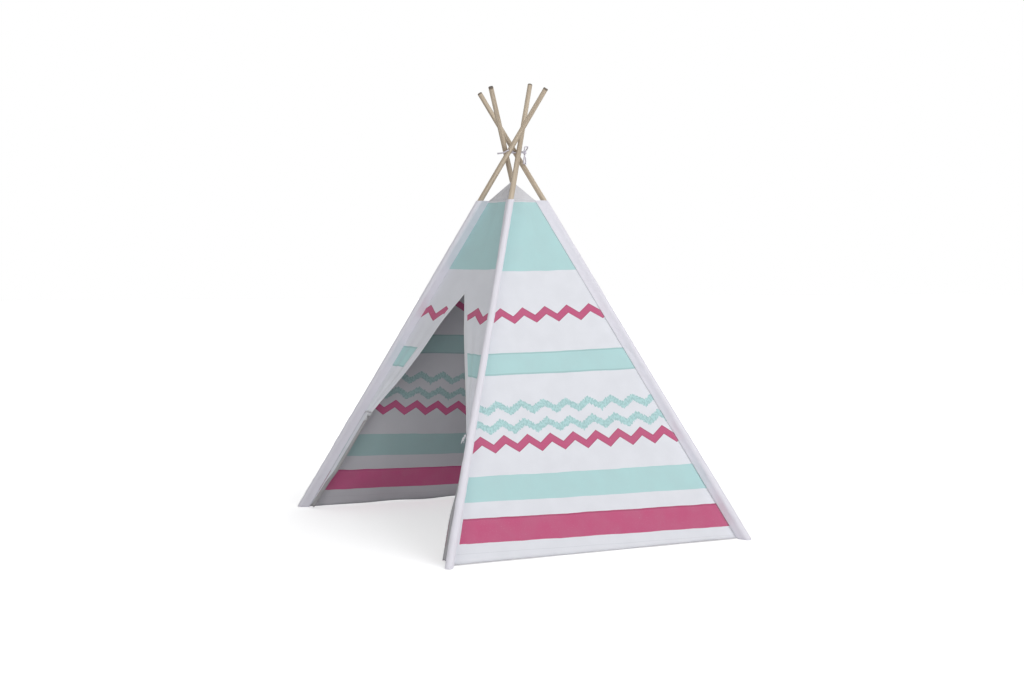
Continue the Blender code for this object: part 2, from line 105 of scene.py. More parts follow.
@dataclass(frozen=True)
class PanelPrint:
    """How a panel's print sits on its cloth, which was cut and sewn by hand.

    Each row holds a height, how far the print is lifted there, and how much more
    it is lifted per metre across.
    """

    across: float = 0.0
    stretch: float = 1.0
    rows: tuple[tuple[float, float, float], ...] = ((0.0, 0.0, 0.0),)

    def at(self, across: float, height: float) -> tuple[float, float]:
        """Return the print's own coordinates of a point of the panel."""
        lift, slope = self.rows[-1][1:]
        if height <= self.rows[0][0]:
            lift, slope = self.rows[0][1:]
        for low, high in zip(self.rows, self.rows[1:]):
            if low[0] < height <= high[0]:
                share = (height - low[0]) / (high[0] - low[0])
                lift = low[1] + share * (high[1] - low[1])
                slope = low[2] + share * (high[2] - low[2])
        return (across - self.across) / self.stretch, height - lift - slope * across


PRINTS = {
    Body.DOOR_PANEL: PanelPrint(
        across=0.027,
        stretch=1.375,
        rows=(
            (0.30, 0.0, 0.0), (0.55, -0.008, 0.0), (0.63, -0.008, 0.0),
            (0.70, -0.012, 0.0), (0.80, -0.012, 0.0), (0.86, 0.0, 0.0),
        ),
    ),
    Body.RIGHT_PANEL: PanelPrint(
        rows=(
            (0.08, 0.0065, -0.018), (0.20, 0.0050, -0.011), (0.34, 0.0040, 0.006), (0.45, 0.0065, 0.012),
            (0.59, 0.0035, 0.012), (0.758, -0.0045, 0.045), (0.90, -0.003, 0.020), (1.15, 0.0, 0.0),
        ),
    ),
    Body.BACK_PANEL: PanelPrint(across=0.012, rows=((0.0, 0.004, 0.004),)),
    Body.LEFT_PANEL: PanelPrint(
        across=0.0425,
        rows=(
            (0.09, 0.013, 0.018), (0.23, 0.025, 0.027), (0.38, 0.033, 0.040), (0.44, 0.037, 0.040),
            (0.535, 0.041, 0.040), (0.585, 0.032, 0.020), (0.66, 0.030, 0.020), (0.758, 0.018, 0.0),
            (0.86, 0.0, 0.0),
        ),
    ),
}


def smooth(value: float, low: float, high: float) -> float:
    """Return a soft step from 0 at low to 1 at high."""
    t = min(1.0, max(0.0, (value - low) / (high - low)))
    return t * t * (3 - 2 * t)


def select_only(obj: Piece) -> None:
    """Leave one object selected and active."""
    bpy.ops.object.select_all(action="DESELECT")
    obj.select_set(True)
    bpy.context.view_layer.objects.active = obj


def apply_modifier(obj: Piece, kind: str, **settings: object) -> None:
    """Add a modifier, set it and apply it.

    Args:
        obj: the mesh object.
        kind: the modifier's type.
        settings: its settings by name.
    """
    modifier = obj.modifiers.new(kind.title(), kind)
    for name, value in settings.items():
        setattr(modifier, name, value)
    select_only(obj)
    bpy.ops.object.modifier_apply(modifier=modifier.name)


def finish_piece(
    obj: Piece, name: str, material: Material, body: str, slot: Slot, nodes: Sequence[str]
) -> None:
    """Name a piece, dress it, and bind it to its body.

    Args:
        obj: the finished mesh object.
        name: the piece's name.
        material: its finish.
        body: the CAD body that it rides on.
        slot: the record's material slot, not used.
        nodes: the CAD nodes that it stands for.
    """
    obj.name = name
    obj.data.name = name
    obj.data.materials.clear()
    obj.data.materials.append(material)
    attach(obj, body)
    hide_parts(*nodes)
    LOG.info("%s: %d faces on %s", name, len(obj.data.polygons), body)


@dataclass
class Stance:
    """How the poles and the cover stand, as in the part's source."""

    base_width: float = 1.200
    front_foot_back: float = 0.120
    sleeve_top: float = 1.145
    peak: float = 1.210
    crossing: float = 1.316
    pole_offset: float = 0.024
    pole_radius: float = 0.0095
    pole_past_crossing: float = 0.2440
    seam_setback_foot: float = 0.028
    seam_setback_top: float = 0.020
    foot_gap: float = 0.0024
    cord_radius: float = 0.0025
    cord_layer: float = 0.0028
    hem_lift: float = 0.003
    slit_apex: float = 0.819
    tie_left: float = 0.372
    tie_right: float = 0.374

    def __post_init__(self) -> None:
        """Work out the pole lines and where the seams of the cover would meet."""
        self.poles = [PoleAxis(self, index) for index in range(len(CORNERS))]
        first = self.poles[0]
        foot_reach = first.foot.length - self.seam_setback_foot / math.cos(first.lean)
        top_reach = first.foot.length * (1 - self.sleeve_top / self.crossing)
        top_reach -= self.seam_setback_top / math.cos(first.lean)
        self.seam_share = foot_reach / first.foot.length
        self.apex = self.sleeve_top * foot_reach / (foot_reach - top_reach)
        self.pole_length = math.hypot(self.base_width / 2, self.base_width / 2, self.crossing)
        self.pole_length += self.pole_past_crossing

    def foot(self, index: int) -> Vector:
        """Return where a pole's axis meets the floor."""
        name, side_x, side_y, _ = CORNERS[index]
        back = self.front_foot_back if name == "door_right" else 0.0
        return Vector((side_x * self.base_width / 2, side_y * self.base_width / 2 + back, 0))

    def corner(self, index: int, height: float) -> Vector:
        """Return the point of the cover's corner seam at a height."""
        foot = self.foot(index)
        return foot * self.seam_share * (1 - height / self.apex) + height * UP


class PoleAxis:
    """The axis of one pole, which leans past the centre line at a small offset."""

    def __init__(self, stance: Stance, index: int) -> None:
        """Work out the pole's line.

        Args:
            stance: the teepee's stance.
            index: the corner's number.
        """
        self.name, _, _, layer = CORNERS[index]
        self.foot = stance.foot(index)
        turn = -math.asin(stance.pole_offset / self.foot.length)
        self.radial = Matrix.Rotation(turn, 3, "Z") @ self.foot.normalized()
        self.tangent = Vector((-self.radial.y, self.radial.x, 0))
        self.crossing = stance.pole_offset * self.tangent + (stance.crossing + layer * stance.cord_layer) * UP
        self.direction = (self.crossing - self.foot).normalized()
        self.lean = math.acos(self.direction.z)
        self.outward = -self.tangent.cross(self.direction)
        self.start = (stance.foot_gap + stance.pole_radius * math.sin(self.lean)) / self.direction.z

    def at(self, distance: float) -> Vector:
        """Return the axis point at a distance along the pole."""
        return self.foot + distance * self.direction

    def at_height(self, height: float) -> Vector:
        """Return the axis point at a height."""
        return self.at(height / self.direction.z)


class PanelPlane:
    """The plane between two corner seams, in which a panel of the cover is stretched."""

    def __init__(self, stance: Stance, first: int, second: int) -> None:
        """Set the plane.

        Args:
            stance: the teepee's stance.
            first: number of the panel's first corner.
            second: number of its second corner, counter-clockwise from above.
        """
        self.stance = stance
        self.first = first
        self.second = second
        low = stance.corner(first, 0)
        self.along = (stance.corner(second, 0) - low).normalized()
        self.normal = self.along.cross(stance.apex * UP - low).normalized()
        self.rise = self.normal.cross(self.along)

    def point(self, share: float, height: float) -> Vector:
        """Return the point at a share of the way from the first seam to the second, at a height."""
        return self.stance.corner(self.first, height).lerp(self.stance.corner(self.second, height), share)

    def centre(self, height: float) -> Vector:
        """Return the middle of the sheet at a height."""
        return self.point(0.5, height)

    def width(self, height: float) -> float:
        """Return the distance between the seams at a height."""
        return (self.point(1, height) - self.point(0, height)).length

    def from_seam(self, which: int, distance: float, height: float) -> Vector:
        """Return the point at a distance from one corner seam, measured level across the sheet."""
        step = self.along if which == self.first else -self.along
        return self.stance.corner(which, height) + distance * step


class Graph:
    """A material's node tree, with short ways to add nodes and join them."""

    def __init__(self, name: str) -> None:
        """Start a material with its shader.

        Args:
            name: the material's name.
        """
        self.material = bpy.data.materials.new(name)
        self.material.use_nodes = True
        self.tree = self.material.node_tree
        self.shader = self.tree.nodes["Principled BSDF"]

    def put(self, socket: Socket, value: object) -> None:
        """Set a socket to a constant, or link another socket to it."""
        if isinstance(value, Socket):
            self.tree.links.new(value, socket)
        else:
            socket.default_value = value

    def node(self, kind: str, **settings: object) -> bpy.types.Node:
        """Add a node and set its properties."""
        made = self.tree.nodes.new(kind)
        for name, value in settings.items():
            setattr(made, name, value)
        return made

    def math(self, operation: str, first: object, second: object = 0.0) -> Socket:
        """Add a Math node and return its result."""
        made = self.node("ShaderNodeMath", operation=operation)
        self.put(made.inputs[0], first)
        self.put(made.inputs[1], second)
        return made.outputs[0]

    def ramp(
        self, value: object, low: float, high: float, out_low: float = 0.0, out_high: float = 1.0
    ) -> Socket:
        """Map a value softly from one range to another, clamped."""
        made = self.node("ShaderNodeMapRange", interpolation_type="SMOOTHSTEP")
        for socket, item in zip(made.inputs, (value, low, high, out_low, out_high)):
            self.put(socket, item)
        return made.outputs[0]

    def mix(self, factor: object, first: object, second: object) -> Socket:
        """Mix two colours and return the result."""
        made = self.node("ShaderNodeMix", data_type="RGBA")
        for number, value in ((0, factor), (6, first), (7, second)):
            self.put(made.inputs[number], (*value, 1.0) if isinstance(value, tuple) else value)
        return made.outputs[2]

    def uv(self, layer: str) -> tuple[Socket, Socket, Socket]:
        """Return a UV map's vector and its two parts."""
        source = self.node("ShaderNodeUVMap", uv_map=layer).outputs[0]
        split = self.node("ShaderNodeSeparateXYZ")
        self.put(split.inputs[0], source)
        return source, split.outputs[0], split.outputs[1]

    def place(self, scale: Place, source: Socket | None = None) -> Socket:
        """Return a scaled pattern vector, of the object's own coordinates unless a source is given."""
        if source is None:
            source = self.node("ShaderNodeTexCoord").outputs["Object"]
        made = self.node("ShaderNodeMapping")
        self.put(made.inputs["Vector"], source)
        made.inputs["Scale"].default_value = scale
        return made.outputs[0]

    def noise(self, vector: object, scale: float, detail: float = 2.0, roughness: float = 0.5) -> Socket:
        """Return a noise value on a pattern vector."""
        made = self.node("ShaderNodeTexNoise")
        self.put(made.inputs["Vector"], vector)
        made.inputs["Scale"].default_value = scale
        made.inputs["Detail"].default_value = detail
        made.inputs["Roughness"].default_value = roughness
        return made.outputs[0]

    def bump(self, height: object, strength: float, distance: float, under: object = None) -> Socket:
        """Return a bumped normal."""
        made = self.node("ShaderNodeBump")
        made.inputs["Strength"].default_value = strength
        made.inputs["Distance"].default_value = distance
        self.put(made.inputs["Height"], height)
        if under is not None:
            self.put(made.inputs["Normal"], under)
        return made.outputs[0]

    def weave(self, across: object, along: object, pitch: float) -> Socket:
        """Return the height of a plain weave of threads at a pitch."""
        turn = 2 * math.pi / pitch
        warp = self.math("SINE", self.math("MULTIPLY", across, turn))
        weft = self.math("SINE", self.math("MULTIPLY", along, turn))
        return self.math("MULTIPLY", warp, weft)

    def stitches(
        self, across: object, along: object, place: float, pitch: float = 0.0042, width: float = 0.0011
    ) -> Socket:
        """Return a mask of a line of stitches at a place across, running along."""
        off = self.math("ABSOLUTE", self.math("SUBTRACT", across, place))
        line = self.ramp(off, width * 0.4, width * 0.7, 1.0, 0.0)
        gap = self.math("PINGPONG", along, pitch / 2)
        dash = self.ramp(gap, pitch * 0.10, pitch * 0.16)
        return self.math("MULTIPLY", line, dash)

    def finish(
        self, colour: object, roughness: object, normal: object = None, **constants: float
    ) -> Material:
        """Join the results to the shader.

        Args:
            colour: base colour, a socket or three numbers.
            roughness: a socket or a number.
            normal: the bumped normal, if any.
            constants: further shader sockets set to numbers, spaces written as underscores.

        Returns:
            The material.
        """
        self.put(self.shader.inputs["Base Color"], (*colour, 1.0) if isinstance(colour, tuple) else colour)
        self.put(self.shader.inputs["Roughness"], roughness)
        if normal is not None:
            self.put(self.shader.inputs["Normal"], normal)
        for name, value in constants.items():
            self.shader.inputs[name.replace("_", " ")].default_value = value
        return self.material


CLOTH_SHEEN = {"Specular_IOR_Level": 0.25, "Sheen_Weight": 0.12, "Sheen_Roughness": 0.6}


def shaded(colour: Colour, share: float) -> Colour:
    """Return a darker tone of a colour."""
    return tuple(share * part for part in colour)


@dataclass(frozen=True)
class Band:
    """A plain printed band between two heights."""

    low: float
    high: float
    mint: bool


@dataclass(frozen=True)
class Zigzag:
    """A printed zigzag line about a height."""

    centre: float
    mint: bool


@dataclass(frozen=True)
class PrintedCanvas:
    """Cotton canvas, printed with mint and pink bands and zigzags that go round the cover."""

    base: Colour = (0.820, 0.835, 0.885)
    mint: Colour = (0.488, 0.732, 0.738)
    mint_edge: Colour = (0.385, 0.615, 0.620)
    pink: Colour = (0.580, 0.110, 0.233)
    pink_edge: Colour = (0.470, 0.080, 0.180)
    slit_fold_highlight: Colour = (0.900, 0.900, 0.930)
    speck: Colour = (0.860, 0.880, 0.880)
    cloud: Colour = (0.420, 0.430, 0.460)
    seam_shade: Colour = (0.300, 0.340, 0.360)
    # tones of the painted shade on the cloth's inner face
    inner_shade_ground: Colour = (0.205, 0.155, 0.135)
    inner_shade_pink: Colour = (1.000, 0.235, 0.560)
    inner_shade_slope: tuple[float, float] = (0.16, 0.28)
    gathered_painted_shade: Colour = (0.340, 0.300, 0.280)
    stitch_shade: Colour = (0.460, 0.480, 0.520)
    bands: tuple[Band, ...] = (
        Band(0.041, 0.113, False),
        Band(0.163, 0.242, True),
        Band(0.555, 0.627, True),
        Band(0.900, 1.137, True),
    )
    zigzags: tuple[Zigzag, ...] = (
        Zigzag(0.341, False),
        Zigzag(0.395, True),
        Zigzag(0.452, True),
        Zigzag(0.758, False),
    )
    wavelength: float = 0.0843
    pink_swing: float = 0.0140
    pink_stroke: float = 0.0275
    mint_swing: float = 0.0120
    mint_stroke: float = 0.0240
    edge_line: float = 0.0022
    stroke_blur: float = 0.0006
    drift: float = 0.006
    dab_reach: float = 0.016
    dab_fade: tuple[float, float] = (-0.0016, 0.0012)
    plain_to: tuple[float, float] = (0.0180, 0.0190)
    fold_highlight_to: tuple[float, float] = (0.0040, 0.0052)
    seam_line_to: tuple[float, float] = (0.0015, 0.0035)
    cloth_top: float = 1.25
    hem_stitches: float = 0.016
    slit_stitches: float = 0.011
    seam_stitches: float = 0.006
    thread: float = 0.0013

    def material(self) -> Material:
        """Build the print on the cloth's own UV map, in metres."""
        graph = Graph("printed_canvas")
        vector, across, height = graph.uv("cloth")
        _, from_slit, from_seam = graph.uv("edge")
        _, facing_down, _ = graph.uv("side")
        wobble = graph.noise(graph.place((9.0, 3.0, 1.0), vector), 1.0, 2.0)
        drift = graph.math("MULTIPLY", graph.math("SUBTRACT", wobble, 0.5), self.drift)
        level = graph.math("ADD", height, drift)
        colour = self.banded(graph, level)
        fleck = graph.noise(graph.place((420.0, 160.0, 1.0), vector), 1.0, 2.0, 0.6)
        dab = graph.noise(graph.place((170.0, 130.0, 1.0), vector), 1.0, 1.0, 0.5)
        for zigzag in self.zigzags:
            off = self.from_zigzag(graph, across, level, zigzag)
            if zigzag.mint:
                colour = self.dabbed(graph, colour, off, dab, fleck)
            else:
                colour = self.stroked(graph, colour, off)
        colour = graph.mix(graph.ramp(from_slit, *self.plain_to, 1.0, 0.0), colour, self.base)
        # painted highlight: a lighter strip where the slit edge's hem folds over
        colour = graph.mix(graph.ramp(from_slit, *self.fold_highlight_to, 1.0, 0.0), colour, self.slit_fold_highlight)
        speck = graph.ramp(graph.noise(vector, 300.0, 2.0, 0.7), 0.62, 0.72)
        colour = graph.mix(graph.math("MULTIPLY", speck, 0.16), colour, self.speck)
        cloud = graph.ramp(graph.noise(vector, 14.0, 3.0), 0.3, 0.7, 0.0, 0.07)
        colour = graph.mix(cloud, colour, self.cloud)
        colour = graph.mix(graph.ramp(from_seam, *self.seam_line_to, 0.30, 0.0), colour, self.seam_shade)
        # painted shade on the inner face of the cloth, which faces down: white and mint go darker, the pink a
        # little brighter
        inner_shade_tone = graph.mix(self.pinkness(graph, colour), self.inner_shade_ground, self.inner_shade_pink)
        colour = graph.mix(graph.ramp(facing_down, *self.inner_shade_slope, 0.0, 0.20), colour, inner_shade_tone)
        # painted shade on the gathered flap cloth, which the seam map marks with values below 0
        colour = graph.mix(graph.ramp(from_seam, -1.0, 0.0, 0.40, 0.0), colour, self.gathered_painted_shade)
        hem_stitch = graph.stitches(height, across, self.hem_stitches)
        slit_stitch = graph.stitches(from_slit, height, self.slit_stitches)
        seam_stitch = graph.stitches(from_seam, height, self.seam_stitches)
        stitch = graph.math("MAXIMUM", graph.math("MAXIMUM", hem_stitch, slit_stitch), seam_stitch)
        colour = graph.mix(graph.math("MULTIPLY", stitch, 0.35), colour, self.stitch_shade)
        crease = graph.noise(graph.place((7.0, 4.0, 1.0), vector), 1.0, 3.0, 0.45)
        normal = graph.bump(crease, 0.25, 0.012)
        threads = graph.weave(across, height, self.thread)
        relief = graph.math("SUBTRACT", threads, graph.math("MULTIPLY", stitch, 3.0))
        normal = graph.bump(relief, 0.30, 0.00018, normal)
        rough = graph.ramp(fleck, 0.2, 0.8, 0.82, 0.92)
        return graph.finish(colour, rough, normal, **CLOTH_SHEEN)

    def pinkness(self, graph: Graph, colour: Socket) -> Socket:
        """Return how pink a colour is, from 0 to 1."""
        parts = graph.node("ShaderNodeSeparateColor")
        graph.put(parts.inputs[0], colour)
        return graph.ramp(graph.math("SUBTRACT", parts.outputs[0], parts.outputs[1]), 0.10, 0.40)

    def banded(self, graph: Graph, level: Socket) -> Socket:
        """Return the colour of the plain bands at a height, each with a thin darker edge."""
        top = self.cloth_top
        made = graph.node("ShaderNodeValToRGB")
        made.color_ramp.interpolation = "CONSTANT"
        graph.put(made.inputs[0], graph.math("DIVIDE", level, top))
        stops: list[tuple[float, Colour]] = []
        for band in self.bands:
            fill = self.mint if band.mint else self.pink
            edge = self.mint_edge if band.mint else self.pink_edge
            stops.append((band.low, edge))
            stops.append((band.low + self.edge_line, fill))
            stops.append((band.high - self.edge_line, edge))
            stops.append((band.high, self.base))
        elements = made.color_ramp.elements
        elements[0].position = 0.0
        elements[0].color = (*self.base, 1.0)
        elements[1].position = stops[-1][0] / top
        elements[1].color = (*stops[-1][1], 1.0)
        for position, colour in stops[:-1]:
            elements.new(position / top).color = (*colour, 1.0)
        return made.outputs[0]

    def from_zigzag(self, graph: Graph, across: Socket, level: Socket, zigzag: Zigzag) -> Socket:
        """Return the distance up or down to a zigzag's middle line."""
        swing = self.mint_swing if zigzag.mint else self.pink_swing
        fall = graph.math("PINGPONG", across, self.wavelength / 2)
        drop = graph.math("MULTIPLY", fall, 4 * swing / self.wavelength)
        line = graph.math("SUBTRACT", zigzag.centre + swing, drop)
        return graph.math("ABSOLUTE", graph.math("SUBTRACT", level, line))

    def stroked(self, graph: Graph, colour: Socket, off: Socket) -> Socket:
        """Return the colour with a sharp pink zigzag over it, a little darker along its edges."""
        half = self.pink_stroke / 2
        blur = self.stroke_blur
        colour = graph.mix(graph.ramp(off, half - blur, half + blur, 1.0, 0.0), colour, self.pink_edge)
        return graph.mix(graph.ramp(off, half - 6 * blur, half - self.edge_line, 1.0, 0.0), colour, self.pink)

    def dabbed(self, graph: Graph, colour: Socket, off: Socket, dab: Socket, fleck: Socket) -> Socket:
        """Return the colour with a mint zigzag over it, printed in rough dabs."""
        half = self.mint_stroke / 2
        uneven = graph.math("MULTIPLY", graph.math("SUBTRACT", dab, 0.5), self.dab_reach)
        low, high = (half + part for part in self.dab_fade)
        mask = graph.ramp(graph.math("ADD", off, uneven), low, high, 1.0, 0.0)
        worn = graph.ramp(fleck, 0.30, 0.42, 0.55, 1.0)
        tone = graph.mix(graph.ramp(dab, 0.40, 0.56, 1.0, 0.0), self.mint, self.mint_edge)
        return graph.mix(graph.math("MULTIPLY", mask, worn), colour, tone)


@dataclass(frozen=True)
class PlainCotton:
    """Plain woven cotton: pole sleeves, peak gores and ribbons."""

    name: str
    colour: Colour
    thread: float = 0.0011
    stitch_places: tuple[float, ...] = ()
    stitch_shade: Colour = (0.500, 0.500, 0.560)

    def material(self) -> Material:
        """Build the cloth on its own UV map, in metres."""
        graph = Graph(self.name)
        vector, across, along = graph.uv("cloth")
        cloud = graph.ramp(graph.noise(graph.place((30.0, 9.0, 1.0), vector), 1.0, 3.0), 0.3, 0.7, 0.0, 0.07)
        colour = graph.mix(cloud, self.colour, shaded(self.colour, 0.72))
        fleck = graph.ramp(graph.noise(vector, 700.0, 2.0, 0.6), 0.3, 0.7, 0.0, 0.08)
        colour = graph.mix(fleck, colour, shaded(self.colour, 0.80))
        relief = graph.weave(across, along, self.thread)
        for place in self.stitch_places:
            stitch = graph.stitches(across, along, place)
            relief = graph.math("SUBTRACT", relief, graph.math("MULTIPLY", stitch, 3.0))
            colour = graph.mix(graph.math("MULTIPLY", stitch, 0.30), colour, self.stitch_shade)
        pucker = graph.noise(graph.place((40.0, 90.0, 1.0), vector), 1.0, 2.0)
        normal = graph.bump(pucker, 0.22, 0.0035)
        normal = graph.bump(relief, 0.30, 0.00016, normal)
        return graph.finish(colour, 0.88, normal, **CLOTH_SHEEN)


@dataclass(frozen=True)
class TurnedWood:
    """Pale sanded pine of the poles, darker at the ends, with painted shade on the wall of the cord hole."""

    light: Colour = (0.650, 0.550, 0.425)
    dark: Colour = (0.430, 0.345, 0.255)
    # near-black on the end faces and painted shade on the wall of the cord hole; the tips take it in part
    end: Colour = (0.120, 0.095, 0.080)

    def exposed(self) -> Material:
        """Build the wood of the pole tops, whose grain follows the pole's own UV map."""
        graph = Graph("pole_wood_top")
        vector, _, _ = graph.uv("wood")
        _, at_end_or_hole, _ = graph.uv("edge")
        return self.grained(graph, graph.place((160.0, 5.0, 1.0), vector), at_end_or_hole)

    def hidden(self) -> Material:
        """Build the wood of the sections inside the sleeves, on object coordinates."""
        graph = Graph("pole_wood_section")
        return self.grained(graph, graph.place((130.0, 130.0, 6.0)), 0.0)

    def grained(self, graph: Graph, vector: Socket, at_end_or_hole: object) -> Material:
        """Join grain, pores, the darker ends and the painted shade of the cord hole to the shader."""
        streak = graph.noise(vector, 1.0, 4.0, 0.6)
        colour = graph.mix(graph.ramp(streak, 0.30, 0.70), self.light, self.dark)
        fine = graph.noise(vector, 5.0, 3.0, 0.6)
        colour = graph.mix(graph.ramp(fine, 0.55, 0.75, 0.0, 0.10), colour, self.dark)
        colour = graph.mix(at_end_or_hole, colour, self.end)
        normal = graph.bump(fine, 0.25, 0.0003)
        return graph.finish(colour, graph.ramp(streak, 0.2, 0.8, 0.50, 0.62), normal, Specular_IOR_Level=0.4)


@dataclass(frozen=True)
class FerruleSteel:
    """Drawn steel tube of the pole joints."""

    colour: Colour = (0.56, 0.57, 0.59)

    def material(self) -> Material:
        """Build the metal with its drawing marks."""
        graph = Graph("ferrule_steel")
        marks = graph.noise(graph.place((300.0, 300.0, 9.0)), 1.0, 3.0, 0.6)
        tone = graph.mix(graph.ramp(marks, 0.3, 0.7, 0.0, 0.4), self.colour, shaded(self.colour, 0.75))
        rough = graph.ramp(marks, 0.2, 0.8, 0.26, 0.42)
        return graph.finish(tone, rough, graph.bump(marks, 0.1, 0.0002), Metallic=1.0)


@dataclass(frozen=True)
class CottonCord:
    """Three-strand cotton cord."""

    colour: Colour = (0.780, 0.745, 0.820)

    def material(self) -> Material:
        """Build the cord's fibres."""
        graph = Graph("cotton_cord")
        fibre = graph.noise(graph.place((900.0, 900.0, 900.0)), 1.0, 3.0, 0.7)
        tone = graph.mix(graph.ramp(fibre, 0.3, 0.7, 0.0, 0.6), self.colour, shaded(self.colour, 0.62))
        return graph.finish(tone, 0.9, graph.bump(fibre, 0.5, 0.0004), Specular_IOR_Level=0.2)


class Finishes:
    """Every finish of the teepee, made once."""

    def __init__(self) -> None:
        """Make the materials."""
        self.printed = PrintedCanvas().material()
        self.sleeve = PlainCotton("sleeve_cotton", (0.850, 0.835, 0.905), stitch_places=(0.006,)).material()
        self.plain = PlainCotton("plain_canvas", (0.760, 0.760, 0.800)).material()
        self.ribbon = PlainCotton("ribbon", (0.830, 0.830, 0.860), thread=0.0008).material()
        self.wood_top = TurnedWood().exposed()
        self.wood_section = TurnedWood().hidden()
        self.steel = FerruleSteel().material()
        self.cord = CottonCord().material()


Placer = Callable[[float, float], Vector]
Mapper = Callable[[float, float], tuple[float, float]]


def grid_sheet(columns: int, rows: int, place: Placer, print_at: Mapper, edge_at: Mapper) -> Piece:
    """Add a grid and shape it into a sheet of cloth with its print and edge maps.

    Args:
        columns: faces across the cloth.
        rows: faces up the cloth.
        place: where a share across and a share up lie.
        print_at: the print's coordinates there, in metres.
        edge_at: distances from the slit and from the seam there, in metres.

    Returns:
        The sheet, without thickness.
    """
    bpy.ops.object.select_all(action="DESELECT")
    bpy.ops.mesh.primitive_grid_add(x_subdivisions=columns, y_subdivisions=rows, size=2, location=(0, 0, 0))
    obj = bpy.context.active_object
    mesh = obj.data
    shares = [((vertex.co.x + 1) / 2, (vertex.co.y + 1) / 2) for vertex in mesh.vertices]
    for vertex, (across, up) in zip(mesh.vertices, shares):
        vertex.co = place(across, up)
    mesh.uv_layers[0].name = "cloth"
    mesh.uv_layers.new(name="edge")
    printed = [print_at(*share) for share in shares]
    edges = [edge_at(*share) for share in shares]
    for loop in mesh.loops:
        mesh.uv_layers["cloth"].data[loop.index].uv = printed[loop.vertex_index]
        mesh.uv_layers["edge"].data[loop.index].uv = edges[loop.vertex_index]
    mesh.shade_smooth()
    return obj


def join_parts(parts: Sequence[Piece], merge: float = 0.000001) -> Piece:
    """Join parts into one mesh and weld the edges that they share."""
    select_only(parts[0])
    for part in parts[1:]:
        part.select_set(True)
    bpy.ops.object.join()
    bpy.ops.object.mode_set(mode="EDIT")
    bpy.ops.mesh.select_all(action="SELECT")
    bpy.ops.mesh.remove_doubles(threshold=merge)
    bpy.ops.mesh.select_all(action="DESELECT")
    bpy.ops.object.mode_set(mode="OBJECT")
    return parts[0]


def thicken(obj: Piece, thickness: float, hem_thickness: float, hem: float = 0.0) -> None:
    """Give a sheet its thickness, more where it is turned over in a hem, and map how far it faces down, which
    masks the painted shade on its inner face.

    Args:
        obj: the sheet.
        thickness: the cloth's own thickness.
        hem_thickness: the thickness of the turned hem.
        hem: the height up to which the hem reaches, 0 for none.
    """
    group = obj.vertex_groups.new(name="hem")
    for vertex in obj.data.vertices:
        in_hem = 1 - smooth(vertex.co.z, hem, hem + HEM_STEP) if hem else 0.0
        group.add([vertex.index], in_hem, "REPLACE")
    apply_modifier(
        obj,
        "SOLIDIFY",
        thickness=hem_thickness,
        offset=0.0,
        vertex_group="hem",
        thickness_vertex_group=thickness / hem_thickness,
        use_rim=True,
    )
    obj.vertex_groups.clear()
    side = obj.data.uv_layers.new(name="side").data
    facing_down = [-vertex.normal.z for vertex in obj.data.vertices]
    for loop in obj.data.loops:
        side[loop.index].uv = (facing_down[loop.vertex_index], 0.0)


def skin(name: str, rings: Sequence[Ring], closed: bool = True, caps: bool = True) -> Piece:
    """Skin rings of equal count into a mesh, with a UV map in metres round and along it.

    Args:
        name: the object's name.
        rings: the slices, in order.
        closed: whether each slice is a closed ring.
        caps: whether the first and the last slice are filled.

    Returns:
        The object, smooth shaded, with faces that point outwards.
    """
    shell = bmesh.new()
    layer = shell.loops.layers.uv.new("cloth")
    rows = [[shell.verts.new(point) for point in ring] for ring in rings]
    count = len(rows[0])
    around = [0.0]
    middle = rings[len(rings) // 2]
    for k in range(count):
        around.append(around[-1] + (middle[(k + 1) % count] - middle[k]).length)
    length = 0.0
    for number, (row, after) in enumerate(zip(rows, rows[1:])):
        step = (sum(rings[number + 1], Vector()) - sum(rings[number], Vector())).length / count
        for k in range(count if closed else count - 1):
            n = (k + 1) % count
            face = shell.faces.new((row[k], row[n], after[n], after[k]))
            near, far = around[k], around[k + 1]
            places = ((near, length), (far, length), (far, length + step), (near, length + step))
            for loop, place in zip(face.loops, places):
                loop[layer].uv = place
        length += step
    if caps:
        shell.faces.new(list(reversed(rows[0])))
        shell.faces.new(rows[-1])
    if closed:
        bmesh.ops.recalc_face_normals(shell, faces=shell.faces)
    mesh = bpy.data.meshes.new(name)
    shell.to_mesh(mesh)
    shell.free()
    mesh.shade_smooth()
    mesh.set_sharp_from_angle(angle=math.radians(50))
    obj = bpy.data.objects.new(name, mesh)
    bpy.context.collection.objects.link(obj)
    return obj


def ripple(point: Vector, scale: float, seed: float) -> float:
    """Return a smooth noise value from -1 to 1 at a point."""
    return noise.noise(point * scale + Vector((seed, 0.7 * seed, 0.3 * seed)))


